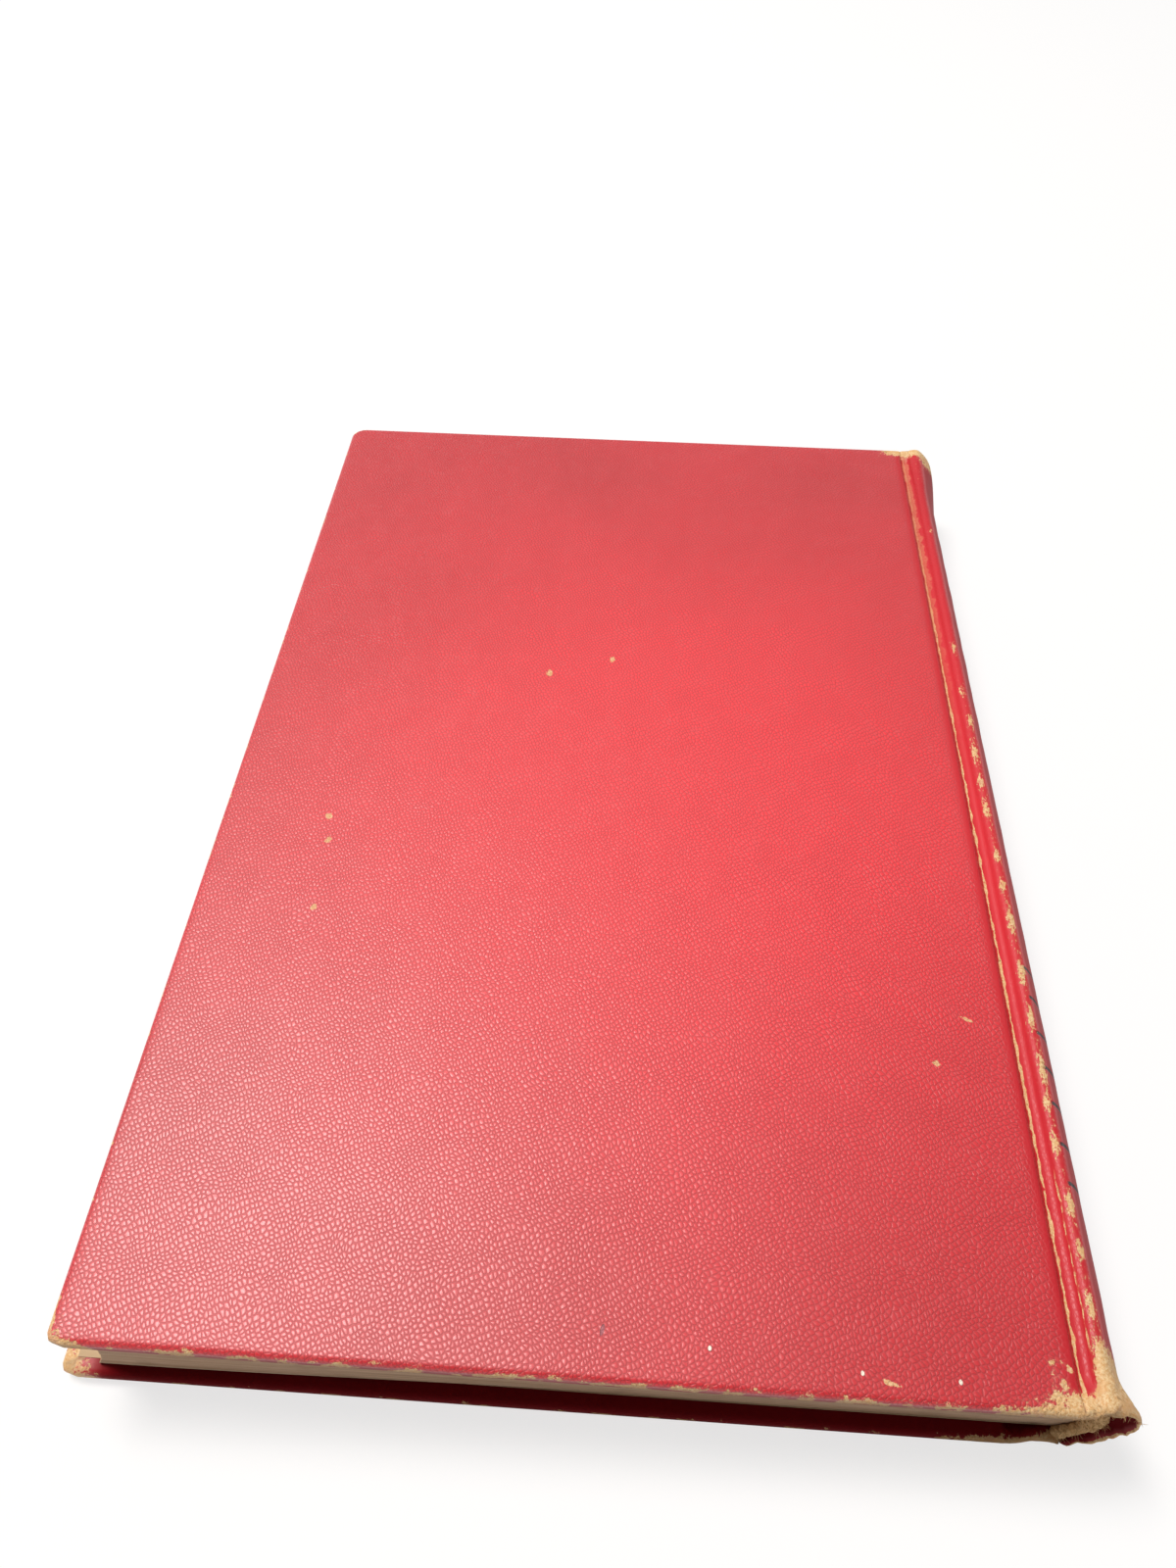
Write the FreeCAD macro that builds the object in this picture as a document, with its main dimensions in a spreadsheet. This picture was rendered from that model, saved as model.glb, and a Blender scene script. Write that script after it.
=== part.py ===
import FreeCAD, Part
import math
import os
import Sketcher

# Hardback book bound in leather, lying flat on its front cover.
# X runs from the fore edge to the spine, Y from tail to head, Z up.
# The origin is under the middle of the book, on the table.

doc = FreeCAD.newDocument("hardback_book")
vec = FreeCAD.Vector
UPRIGHT = FreeCAD.Rotation(vec(1, 0, 0), 90)
SAME_PLACE = 1e-6

# Driving dimensions in millimetres
SIZES = [
    ("book_tall", "235", "head to tail of the covers"),
    ("board_wide", "149.8", "covered board, fore edge to spine edge"),
    ("board_thick", "2.4", "millboard"),
    ("leather_thick", "0.4", "leather on the outside"),
    ("lap_thick", "0.4", "pared turn-ins and cloth wing, inside a board"),
    ("turnin_wide", "15", "leather turned in over the board"),
    ("wing_wide", "25", "spine cloth on the inside of a board"),
    ("pastedown_thick", "0.15", "endpaper pasted to a board"),
    ("flyleaf_thick", "0.15", "free endpaper"),
    ("flyleaf_short", "0.36", "free endpaper short of the foot of the shoulder"),
    ("cover_gap", "0.05", "closed cover to flyleaf"),
    ("pages_thick", "16.3", "sewn pages without endpapers"),
    ("square_end", "2.5", "cover beyond the pages at head and tail"),
    ("square_fore", "3.8", "cover beyond the pages at the fore edge"),
    ("fore_hollow", "2.2", "hollow of the rounded fore edge"),
    ("cover_shift", "2.5", "how far each cover has slipped, in opposite ways"),
    ("joint_wide", "7.2", "board edge to spine ridge, before the covers slipped"),
    ("joint_deep", "1.4", "depth of the groove"),
    ("cover_roll", "1.6", "leather rolling over the board edge into the groove"),
    ("slit_half", "0.15", "half the gap at the hinge line"),
    ("groove_floor", "0.28", "flat floor of the groove beyond the hinge line"),
    ("round_out", "5.2", "round of the spine beyond its ridges"),
    ("inlay_thick", "0.6", "card inside the spine leather"),
    ("inlay_short", "1.4", "card edge short of the spine's side"),
    ("hollow_gap", "0.2", "free gap of the hollow back"),
    ("lining_thick", "0.2", "paper lining on the back"),
    ("lining_short", "0.8", "lining edge short of the shoulder"),
    ("mull_thick", "0.3", "open cloth glued to the back"),
    ("shoulder_drop", "1.7", "page shoulder below the cover's face"),
    ("shoulder_lean", "1.5", "lean of the shoulder's flank"),
    ("corner_tail", "1.8", "worn round of the tail corners"),
    ("corner_head", "3.6", "worn round of the head corners"),
    ("edge_round", "0.8", "leather rolled over the board edges"),
    ("tail_wear", "4", "spine leather worn away at the tail"),
    ("head_wear", "1", "spine leather worn away at the head"),
    ("wear_curve", "52", "curve of the worn ends of the spine, seen from above"),
]

# Places and sizes that follow from the driving dimensions
WORKED = [
    ("tall_half", "=sizes.book_tall / 2"),
    ("board_top", "=sizes.leather_thick + sizes.board_thick"),
    ("lap_top", "=board_top + sizes.lap_thick"),
    ("cover_thick", "=lap_top + sizes.pastedown_thick"),
    ("book_thick", "=sizes.pages_thick + 2 * (cover_thick + sizes.cover_gap + sizes.flyleaf_thick)"),
    ("thick_half", "=book_thick / 2"),
    ("centre", "=(sizes.board_wide + sizes.joint_wide + sizes.round_out - sizes.cover_shift) / 2"),
    ("back_fore", "=sizes.cover_shift - centre"),
    ("front_fore", "=-sizes.cover_shift - centre"),
    ("hinge_in", "=sizes.board_wide + sizes.cover_roll + sizes.slit_half"),
    ("ridge", "=sizes.board_wide + sizes.joint_wide - centre"),
    ("apex", "=ridge + sizes.round_out"),
    ("cover_curl", "=(sizes.cover_roll ^ 2 + sizes.joint_deep ^ 2) / (4 * sizes.joint_deep)"),
    ("roll_turn", "=2 * atan(sizes.joint_deep / sizes.cover_roll)"),
    ("joint_spare", "=sizes.joint_wide - sizes.cover_shift - sizes.cover_roll - 2 * sizes.slit_half"),
    ("ridge_ramp", "=joint_spare - sizes.groove_floor"),
    ("ridge_curl", "=(ridge_ramp ^ 2 + sizes.joint_deep ^ 2) / (4 * sizes.joint_deep)"),
    ("ridge_up", "=thick_half - ridge_curl"),
    ("spine_round", "=(ridge_up ^ 2 + sizes.round_out ^ 2 - ridge_curl ^ 2) / (2 * (sizes.round_out - ridge_curl))"),
    ("spine_mid", "=apex - spine_round"),
    ("blend_share", "=spine_round / (spine_round - ridge_curl)"),
    ("blend_in", "=spine_mid + (ridge - spine_mid) * blend_share"),
    ("blend_up", "=ridge_up * blend_share"),
    ("groove_up", "=thick_half - sizes.joint_deep"),
    ("inlay_half", "=thick_half - sizes.inlay_short"),
    ("lap_half", "=inlay_half + sizes.lap_thick"),
    ("hollow", "=sizes.lap_thick + sizes.hollow_gap"),
    ("lining_inset", "=sizes.leather_thick + sizes.inlay_thick + hollow"),
    ("pages_inset", "=lining_inset + sizes.lining_thick + sizes.mull_thick"),
    ("pages_round", "=spine_round - pages_inset"),
    ("pages_half", "=sizes.pages_thick / 2"),
    ("pages_tall", "=sizes.book_tall - 2 * sizes.square_end"),
    ("pages_fore", "=sizes.square_fore - centre"),
    ("tip_up", "=thick_half - sizes.shoulder_drop"),
    ("tip_in", "=spine_mid + sqrt(pages_round ^ 2 - tip_up ^ 2)"),
    ("foot_in", "=tip_in - sizes.shoulder_lean"),
    ("fore_round", "=(pages_half ^ 2 + sizes.fore_hollow ^ 2) / (2 * sizes.fore_hollow)"),
    ("lining_half", "=tip_up - sizes.lining_short"),
    ("window_half", "=tall_half - sizes.turnin_wide"),
    ("window_end", "=sizes.board_wide - sizes.wing_wide"),
    ("paste_fore", "=sizes.square_fore - sizes.cover_shift / 2"),
    ("paste_half", "=pages_tall / 2"),
]


def fill_sheet(name, rows):
    sheet = doc.addObject("Spreadsheet::Sheet", name)
    for number, row in enumerate(rows, start=1):
        sheet.set(f"A{number}", row[0])
        sheet.set(f"B{number}", row[1])
        sheet.setAlias(f"B{number}", row[0])
        if len(row) > 2:
            sheet.set(f"C{number}", row[2])
        doc.recompute()
    return sheet


sizes = fill_sheet("sizes", SIZES)
worked = fill_sheet("worked", WORKED)


def number(expression):
    return float(sizes.evalExpression(expression))


def pin(sketch, item, end, across, up):
    # Holds one end of a line or arc at a place given by two expressions.
    for kind, place in (("DistanceX", across), ("DistanceY", up)):
        row = sketch.addConstraint(Sketcher.Constraint(kind, -1, 1, item, end, number(place)))
        sketch.setExpression(f"Constraints[{row}]", place)


def draw(sketch, start, steps, closed=True):
    # Each step is a line (across, up) or an arc (across, up, radius, side).
    here = start
    first = None
    before = None
    stops = steps + [start] if closed and steps[-1][:2] != start else steps
    for step in stops:
        a = vec(number(here[0]), number(here[1]), 0)
        b = vec(number(step[0]), number(step[1]), 0)
        if len(step) == 2:
            item = sketch.addGeometry(Part.LineSegment(a, b))
        else:
            radius = number(step[2])
            chord = b - a
            across = vec(-chord.y, chord.x, 0).normalize() * step[3]
            sag = radius - math.sqrt(max(radius ** 2 - chord.Length ** 2 / 4, 0))
            item = sketch.addGeometry(Part.Arc(a, (a + b) * 0.5 + across * sag, b))
            row = sketch.addConstraint(Sketcher.Constraint("Radius", item, radius))
            sketch.setExpression(f"Constraints[{row}]", step[2])
        ends = ends_of(sketch, item, a)
        if before is None:
            first = (item, ends[0])
            if not closed:
                pin(sketch, item, ends[0], *here)
        else:
            sketch.addConstraint(Sketcher.Constraint("Coincident", before[0], before[1], item, ends[0]))
        pin(sketch, item, ends[1], step[0], step[1])
        before = (item, ends[1])
        here = (step[0], step[1])
    if closed:
        sketch.addConstraint(Sketcher.Constraint("Coincident", before[0], before[1], *first))


def ends_of(sketch, item, start):
    # An arc may run either way, so the end nearest to the start comes first.
    near = sketch.getPoint(item, 1)
    return (1, 2) if (near - start).Length < (sketch.getPoint(item, 2) - start).Length else (2, 1)


def new_body(label, turned=False, across="0 mm", up="0 mm"):
    body = doc.addObject("PartDesign::Body", label)
    body.Label = label
    if turned:
        body.Placement = FreeCAD.Placement(vec(), FreeCAD.Rotation(vec(1, 0, 0), 180))
    body.setExpression("Placement.Base.x", across)
    body.setExpression("Placement.Base.z", up)
    return body


def body_sketch(body, name, role, level="0"):
    sketch = body.newObject("Sketcher::SketchObject", name)
    plane = [item for item in body.Origin.OriginFeatures if item.Role == role][0]
    sketch.AttachmentSupport = [(plane, "")]
    sketch.MapMode = "FlatFace"
    sketch.setExpression("AttachmentOffset.Base.z", level)
    return sketch


def pad(body, sketch, length, both_ways=False):
    feature = body.newObject("PartDesign::Pad", sketch.Name + "_pad")
    feature.Profile = sketch
    feature.SideType = "Symmetric" if both_ways else "One side"
    feature.setExpression("Length", length)
    doc.recompute()
    return feature


def pocket(body, sketch, length):
    feature = body.newObject("PartDesign::Pocket", sketch.Name + "_pocket")
    feature.Profile = sketch
    feature.setExpression("Length", length)
    doc.recompute()
    return feature


def plate(sketch, fore, spine, half, rounds=None):
    # A board's outline from above, with its two fore corners rounded.
    low, high = rounds or (None, None)
    if rounds is None:
        draw(sketch, (fore, f"-{half}"), [(spine, f"-{half}"), (spine, half), (fore, half)])
        return
    draw(sketch, (f"{fore} + {low}", f"-{half}"), [
        (spine, f"-{half}"),
        (spine, half),
        (f"{fore} + {high}", half),
        (fore, f"{half} - ({high})", high, -1),
        (fore, f"-{half} + ({low})"),
        (f"{fore} + {low}", f"-{half}", low, -1),
    ])


def outer_edges(shape, level, spine):
    # Edges of the fore, head and tail sides and the corners, at one height.
    found = []
    for count, edge in enumerate(shape.Edges, start=1):
        box = edge.BoundBox
        flat = abs(box.ZMin - level) < SAME_PLACE and abs(box.ZMax - level) < SAME_PLACE
        if flat and box.XMin < spine - SAME_PLACE:
            found.append(f"Edge{count}")
    return found


def round_edges(body, level):
    base = body.Tip
    fillet = body.newObject("PartDesign::Fillet", f"{body.Name}_roll")
    fillet.Base = (base, outer_edges(base.Shape, number(level), number("sizes.board_wide")))
    fillet.setExpression("Radius", "sizes.edge_round")
    doc.recompute()
    return fillet


# One cover, drawn from its outer face inwards: x from its fore edge, z into the book.
# The back cover lies on top and is the same set of pieces turned over.
def cover(side, turned, fore, up):
    tail, head = "sizes.corner_tail", "sizes.corner_head"
    outside = (head, tail) if turned else (tail, head)
    inside = tuple(f"({name} - sizes.leather_thick)" for name in outside)

    board = new_body(f"{side}_board", turned, fore, up)
    outline = body_sketch(board, f"{side}_board_outline", "XY_Plane", "sizes.leather_thick")
    half = "(worked.tall_half - sizes.leather_thick)"
    plate(outline, "sizes.leather_thick", "sizes.board_wide", half, inside)
    pad(board, outline, "sizes.board_thick")

    skin = new_body(f"{side}_covering", turned, fore, up)
    outer = body_sketch(skin, f"{side}_skin_outline", "XY_Plane")
    plate(outer, "0", "sizes.board_wide", "worked.tall_half", outside)
    pad(skin, outer, "worked.board_top")
    round_edges(skin, "0")
    hollow = body_sketch(skin, f"{side}_skin_hollow", "XY_Plane", "worked.board_top")
    plate(hollow, "sizes.leather_thick", "sizes.board_wide + sizes.leather_thick", half, inside)
    pocket(skin, hollow, "sizes.board_thick")
    turnin = body_sketch(skin, f"{side}_turnin_outline", "XY_Plane", "worked.board_top")
    plate(turnin, "0", "sizes.board_wide", "worked.tall_half", outside)
    pad(skin, turnin, "sizes.lap_thick")
    window = body_sketch(skin, f"{side}_turnin_window", "XY_Plane", "worked.lap_top")
    plate(window, "sizes.turnin_wide", "sizes.board_wide + sizes.leather_thick", "worked.window_half")
    pocket(skin, window, "sizes.lap_thick")
    strip = body_sketch(skin, f"{side}_joint_strip", "XZ_Plane")
    wide, deep, curl, thick = "sizes.board_wide", "sizes.joint_deep", "worked.cover_curl", "sizes.leather_thick"
    draw(strip, (wide, "0"), [
        (f"{wide} + sizes.cover_roll / 2", f"{deep} / 2", curl, -1),
        (f"{wide} + sizes.cover_roll", deep, curl, 1),
        (f"{wide} + sizes.cover_roll", f"{deep} + {thick}"),
        (f"{wide} + sizes.cover_roll / 2 - {thick} * sin(worked.roll_turn)",
         f"{deep} / 2 + {thick} * cos(worked.roll_turn)", f"{curl} + {thick}", -1),
        (wide, thick, f"{curl} - {thick}", 1),
    ])
    pad(skin, strip, "sizes.book_tall", True)

    wing = new_body(f"{side}_mull_wing", turned, fore, up)
    cloth = body_sketch(wing, f"{side}_wing_outline", "XY_Plane", "worked.board_top")
    plate(cloth, "worked.window_end", "worked.hinge_in - sizes.slit_half", "worked.window_half")
    pad(wing, cloth, "sizes.lap_thick")

    paste = new_body(f"{side}_pastedown", turned, fore, up)
    sheet = body_sketch(paste, f"{side}_paste_outline", "XY_Plane", "worked.lap_top")
    plate(sheet, "worked.paste_fore", "worked.hinge_in - sizes.slit_half", "worked.paste_half")
    pad(paste, sheet, "sizes.pastedown_thick")
    dish = body_sketch(paste, f"{side}_paste_dish", "XY_Plane", "worked.board_top")
    plate(dish, "sizes.turnin_wide", "worked.window_end", "worked.window_half")
    pad(paste, dish, "sizes.lap_thick")
    scoop = body_sketch(paste, f"{side}_paste_scoop", "XY_Plane", "worked.cover_thick")
    edge = "sizes.pastedown_thick"
    plate(scoop, f"sizes.turnin_wide + {edge}", f"worked.window_end - {edge}", f"(worked.window_half - {edge})")
    pocket(paste, scoop, "sizes.lap_thick")
    return board, skin, wing, paste


# Pages, sewn and rounded, with shoulders for the boards
def text_block():
    body = new_body("text_block", up="worked.thick_half")
    section = body_sketch(body, "page_section", "XZ_Plane")
    draw(section, ("worked.pages_fore", "-worked.pages_half"), [
        ("worked.foot_in", "-worked.pages_half"),
        ("worked.tip_in", "-worked.tip_up"),
        ("worked.tip_in", "worked.tip_up", "worked.pages_round", -1),
        ("worked.foot_in", "worked.pages_half"),
        ("worked.pages_fore", "worked.pages_half"),
        ("worked.pages_fore", "-worked.pages_half", "worked.fore_round", 1),
    ])
    pad(body, section, "worked.pages_tall", True)
    return body


# The free half of an endpaper, lying on the pages
def flyleaf(side, low, high):
    body = new_body(f"{side}_flyleaf", up="worked.thick_half")
    section = body_sketch(body, f"{side}_leaf_section", "XZ_Plane")
    inner = "worked.foot_in - sizes.flyleaf_short"
    draw(section, ("worked.pages_fore", low), [(inner, low), (inner, high), ("worked.pages_fore", high)])
    pad(body, section, "worked.pages_tall", True)
    return body


def loose_sketch(name, start, steps):
    sketch = doc.addObject("Sketcher::SketchObject", name)
    sketch.Placement = FreeCAD.Placement(vec(), UPRIGHT)
    sketch.setExpression("Placement.Base.z", "worked.thick_half")
    draw(sketch, start, steps, closed=False)
    doc.recompute()
    return sketch


# A thin sheet is a line drawn in section, drawn out along the book and given its thickness
def sheet_from(name, sketch, tall, thick, middle="0", outward=False):
    surface = doc.addObject("Part::Extrusion", f"{name}_surface")
    surface.Base = sketch
    surface.DirMode = "Normal"
    surface.Symmetric = True
    surface.setExpression("LengthFwd", tall)
    surface.setExpression("Placement.Base.y", middle)
    doc.recompute()
    sheet = doc.addObject("Part::Offset", name)
    sheet.Source = surface
    sheet.Fill = True
    sheet.Join = 2 if outward else 0
    sheet.setExpression("Value", f"-{thick}" if outward else thick)
    doc.recompute()
    sheet.Label = name
    return sheet


def round_sheet(name, inset, half, tall, thick, middle="0"):
    radius = f"(worked.spine_round - ({inset}))"
    side = f"worked.spine_mid + sqrt({radius} ^ 2 - {half} ^ 2)"
    sketch = loose_sketch(f"{name}_section", (side, f"-{half}"), [(side, half, radius, -1)])
    return sheet_from(name, sketch, tall, thick, middle)


# Spine leather from groove to groove, with its ends turned in
def spine_shell():
    lower, upper = "worked.front_fore", "worked.back_fore"
    start = " + worked.hinge_in + sizes.slit_half"
    ramp, curl = "worked.ridge_ramp", "worked.ridge_curl"
    section = loose_sketch("spine_section", (lower + start, "-worked.groove_up"), [
        (f"worked.ridge - {ramp}", "-worked.groove_up"),
        (f"worked.ridge - {ramp} / 2", "-worked.thick_half + sizes.joint_deep / 2", curl, 1),
        ("worked.blend_in", "-worked.blend_up", curl, -1),
        ("worked.blend_in", "worked.blend_up", "worked.spine_round", -1),
        (f"worked.ridge - {ramp} / 2", "worked.thick_half - sizes.joint_deep / 2", curl, -1),
        (f"worked.ridge - {ramp}", "worked.groove_up", curl, 1),
        (upper + start, "worked.groove_up"),
    ])
    return sheet_from("spine_leather", section, "sizes.book_tall", "sizes.leather_thick")


def fuse(name, parts):
    joined = doc.addObject("Part::MultiFuse", name)
    joined.Shapes = parts
    doc.recompute()
    return joined


# What wear has taken off one end of the spine, seen from above
def worn_away(name, sign, depth):
    sketch = doc.addObject("Sketcher::SketchObject", f"{name}_outline")
    end = f"({sign}worked.tall_half)"
    beyond = f"{end} {sign or '+'} sizes.leather_thick"
    back = "+" if sign else "-"
    side = 1 if sign else -1
    outside = "worked.apex + sizes.leather_thick"
    draw(sketch, ("worked.ridge - worked.ridge_ramp", end), [
        (outside, f"{end} {back} {depth}", "sizes.wear_curve", side),
        (outside, beyond),
        ("worked.ridge - worked.ridge_ramp", beyond),
    ])
    solid = doc.addObject("Part::Extrusion", name)
    solid.Base = sketch
    solid.DirMode = "Normal"
    solid.Solid = True
    solid.setExpression("LengthFwd", "worked.book_thick")
    doc.recompute()
    return solid


def cut(name, base, tool):
    rest = doc.addObject("Part::Cut", name)
    rest.Base = base
    rest.Tool = tool
    doc.recompute()
    rest.Label = name
    return rest


def spine():
    # The card lies between the leather and its turned-in ends, which close round the card's edges.
    under = "sizes.leather_thick"
    card_tall = "sizes.book_tall - 2 * sizes.leather_thick"
    card = round_sheet("spine_card", under, "worked.inlay_half", card_tall, "sizes.inlay_thick")
    pieces = [spine_shell()]
    for end, sign in (("head", ""), ("tail", "-")):
        lap_at = f"{sign}(worked.tall_half - sizes.turnin_wide / 2)"
        lap = round_sheet(f"{end}_lap", under, "worked.lap_half", "sizes.turnin_wide",
                          "(sizes.inlay_thick + sizes.lap_thick)", lap_at)
        pieces.append(cut(f"{end}_turnin", lap, card))
    whole = fuse("spine_whole", pieces)
    tail_bite = worn_away("tail_bite", "-", "sizes.tail_wear")
    head_bite = worn_away("head_bite", "", "sizes.head_wear")
    covering = cut("spine_covering", cut("spine_tail_worn", whole, tail_bite), head_bite)
    inlay = cut("spine_inlay", cut("card_tail_worn", card, tail_bite), head_bite)
    return covering, inlay


# Cloth and paper glued to the rounded back
def back_linings():
    lining = round_sheet("spine_lining", "worked.lining_inset", "worked.lining_half", "worked.pages_tall",
                         "sizes.lining_thick")
    section = loose_sketch("mull_section", ("worked.foot_in", "-worked.pages_half"), [
        ("worked.tip_in", "-worked.tip_up"),
        ("worked.tip_in", "worked.tip_up", "worked.pages_round", -1),
        ("worked.foot_in", "worked.pages_half"),
    ])
    mull = sheet_from("mull", section, "2 * worked.window_half", "sizes.mull_thick", outward=True)
    return lining, mull


nodes = []
nodes += cover("front", False, "worked.front_fore", "0 mm")
nodes += cover("back", True, "worked.back_fore", "worked.book_thick")
nodes.append(text_block())
nodes.append(flyleaf("front", "-worked.pages_half - sizes.flyleaf_thick", "-worked.pages_half"))
nodes.append(flyleaf("back", "worked.pages_half", "worked.pages_half + sizes.flyleaf_thick"))
nodes += spine()
nodes += back_linings()
doc.recompute()

for item in doc.Objects:
    if "Invalid" in item.State or "Error" in item.State:
        raise RuntimeError(f"{item.Name} did not build: {item.State}")
for node in nodes:
    if node.Shape.isNull() or not node.Shape.isValid() or len(node.Shape.Solids) != 1:
        raise RuntimeError(f"{node.Label} is not one sound solid")

os.makedirs("parts", exist_ok=True)
for node in nodes:
    node.Shape.exportStep(f"parts/{node.Label}.step")
    box = node.Shape.optimalBoundingBox()
    print(f"{node.Label:20s} x {box.XMin:8.2f} {box.XMax:8.2f} y {box.YMin:8.2f} {box.YMax:8.2f}",
          f"z {box.ZMin:6.2f} {box.ZMax:6.2f} volume {node.Shape.Volume:10.1f}")
print("spine_round", number("worked.spine_round"))
print("back hinge x", number("worked.back_fore + worked.hinge_in"),
      "front hinge x", number("worked.front_fore + worked.hinge_in"))
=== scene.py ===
# %% [markdown]
# A hardback book bound in red leather
#
# The book lies flat on its front cover with its spine on the right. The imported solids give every
# piece its size and place, and this script dresses them: leather with its grain and wear, the edges
# of the pages, the endpapers, and the torn end of the spine.

# %% Load the frame
import math
import random

import bmesh
import bpy
import numpy as np
from mathutils import Matrix, Vector, noise


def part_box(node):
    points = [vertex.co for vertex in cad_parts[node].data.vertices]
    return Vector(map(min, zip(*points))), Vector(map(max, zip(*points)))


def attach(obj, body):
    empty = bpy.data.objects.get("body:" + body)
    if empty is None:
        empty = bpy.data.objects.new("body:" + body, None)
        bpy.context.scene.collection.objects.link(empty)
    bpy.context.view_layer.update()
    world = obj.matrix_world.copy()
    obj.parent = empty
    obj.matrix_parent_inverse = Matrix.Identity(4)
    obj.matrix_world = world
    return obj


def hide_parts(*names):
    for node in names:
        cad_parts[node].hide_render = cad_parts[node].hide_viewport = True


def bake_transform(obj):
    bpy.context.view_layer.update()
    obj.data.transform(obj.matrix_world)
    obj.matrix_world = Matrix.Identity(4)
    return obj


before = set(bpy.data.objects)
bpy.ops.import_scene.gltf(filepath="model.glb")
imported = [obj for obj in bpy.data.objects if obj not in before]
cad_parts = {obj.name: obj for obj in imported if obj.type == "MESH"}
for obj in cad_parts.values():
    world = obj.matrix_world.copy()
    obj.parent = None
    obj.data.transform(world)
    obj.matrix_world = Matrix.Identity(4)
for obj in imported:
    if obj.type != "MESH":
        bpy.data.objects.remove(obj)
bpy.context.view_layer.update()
MM = 0.001
random.seed(7)
print("nodes", sorted(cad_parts))

# %% [markdown]
# Camera
#
# The photograph was taken from just beyond the near short end, looking down at the top cover. The
# place and the turn of the camera were worked out from the four edges of that cover.

# %% Camera
CAMERA_AT = (4.432, -154.256, 202.793)
CAMERA_RIGHT = (0.998003, 0.063061, 0.003626)
CAMERA_UP = (-0.050949, 0.769734, 0.636328)
CAMERA_BACK = (0.037336, -0.635242, 0.77141)
camera_data = bpy.data.cameras.new("photo_camera")
camera_data.lens = 25.875
camera_data.sensor_width = 36
camera_data.clip_start = 0.01
camera = bpy.data.objects.new("photo_camera", camera_data)
bpy.context.collection.objects.link(camera)
turn = Matrix((CAMERA_RIGHT, CAMERA_UP, CAMERA_BACK)).transposed().to_4x4()
camera.matrix_world = Matrix.Translation(Vector(CAMERA_AT) * MM) @ turn
bpy.context.scene.camera = camera

# %% [markdown]
# Floor and light
#
# The floor is a plain white sheet. One soft lamp behind and to the left gives the broad gloss on the
# near left of the cover and leaves the near edges in shade, and pale surroundings fill the rest.
# What the camera, a glossy surface or a clear one sees of the sheet is mostly plain white, so its
# far corners don't turn grey. The rest of it is the lit sheet, which keeps the book's shadow. The
# surroundings are white walls too, under a ceiling that is dimmer.

# %% Floor and light


def linear(code):
    parts = [int(code[i:i + 2], 16) / 255 for i in (1, 3, 5)]
    return tuple(p / 12.92 if p <= 0.04045 else ((p + 0.055) / 1.055) ** 2.4 for p in parts) + (1.0,)


def node(tree, kind, inputs=(), **settings):
    # Adds one node, sets what it is told, and links each input that is given a node or a socket.
    made = tree.nodes.new("ShaderNode" + kind)
    for key, value in settings.items():
        setattr(made, key, value)
    for key, value in inputs.items() if isinstance(inputs, dict) else enumerate(inputs):
        if isinstance(value, bpy.types.Node):
            value = next(output for output in value.outputs if output.enabled)
        if isinstance(value, bpy.types.NodeSocket):
            tree.links.new(value, made.inputs[key])
        else:
            made.inputs[key].default_value = value
    return made


def new_material(name):
    material = bpy.data.materials.new(name)
    material.use_nodes = True
    material.node_tree.nodes.clear()
    return material, material.node_tree


def seen_directly(tree):
    # One for the rays that show a surface as it is, and nothing for those that light the book.
    rays = node(tree, "LightPath").outputs
    shown = 0.0
    for kind in ("Is Camera Ray", "Is Glossy Ray", "Is Transmission Ray"):
        shown = node(tree, "Math", (shown, rays[kind]), operation="MAXIMUM")
    return shown


SMOOTH = {"interpolation_type": "SMOOTHSTEP"}
PLAIN_SHARE = 0.72
FLOOR_HALF, FLOOR_BELOW = 3.0, 0.0002
floor_paper, tree = new_material("matt_white_paper_sheet")
lit = node(tree, "BsdfDiffuse", {"Color": linear("#FAF9F7")})
plain = node(tree, "Emission", {"Color": linear("#FFFFFF"), "Strength": 1.0})
share = node(tree, "Math", (seen_directly(tree), PLAIN_SHARE), operation="MULTIPLY")
node(tree, "OutputMaterial", (node(tree, "MixShader", (share, lit, plain)),))
floor_data = bpy.data.meshes.new("floor")
floor_data.from_pydata([(-FLOOR_HALF, -FLOOR_HALF, 0), (FLOOR_HALF, -FLOOR_HALF, 0),
                        (FLOOR_HALF, FLOOR_HALF, 0), (-FLOOR_HALF, FLOOR_HALF, 0)], [],
                       [(0, 1, 2, 3)])
floor = bpy.data.objects.new("floor", floor_data)
floor.location.z = -FLOOR_BELOW
floor_data.materials.append(floor_paper)
bpy.context.collection.objects.link(floor)

WORLD_LEVEL = 0.23
WALL_TOP, CEILING = 0.33, 0.50
world = bpy.data.worlds.new("pale_studio")
bpy.context.scene.world = world
world.use_nodes = True
tree = world.node_tree
tree.nodes.clear()
towards = node(tree, "TexCoord").outputs["Generated"]
tall = node(tree, "SeparateXYZ", (towards,)).outputs["Z"]
walls = node(tree, "MapRange", (tall, WALL_TOP, CEILING, 1.0, 0.0), **SMOOTH)
shown = node(tree, "Math", (seen_directly(tree), walls), operation="MULTIPLY")
level = node(tree, "Math", (shown, 1 - WORLD_LEVEL, WORLD_LEVEL), operation="MULTIPLY_ADD")
haze = node(tree, "Background", {"Color": linear("#F7F8FA"), "Strength": level})
node(tree, "OutputWorld", (haze,))


def soft_lamp(name, at, aim, size, power, colour):
    data = bpy.data.lights.new(name, "AREA")
    data.shape = "SQUARE"
    data.size = size
    data.energy = power
    data.color = linear(colour)[:3]
    lamp = bpy.data.objects.new(name, data)
    bpy.context.collection.objects.link(lamp)
    lamp.location = at
    lamp.rotation_euler = (Vector(aim) - Vector(at)).to_track_quat("-Z", "Y").to_euler()
    return lamp


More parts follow.
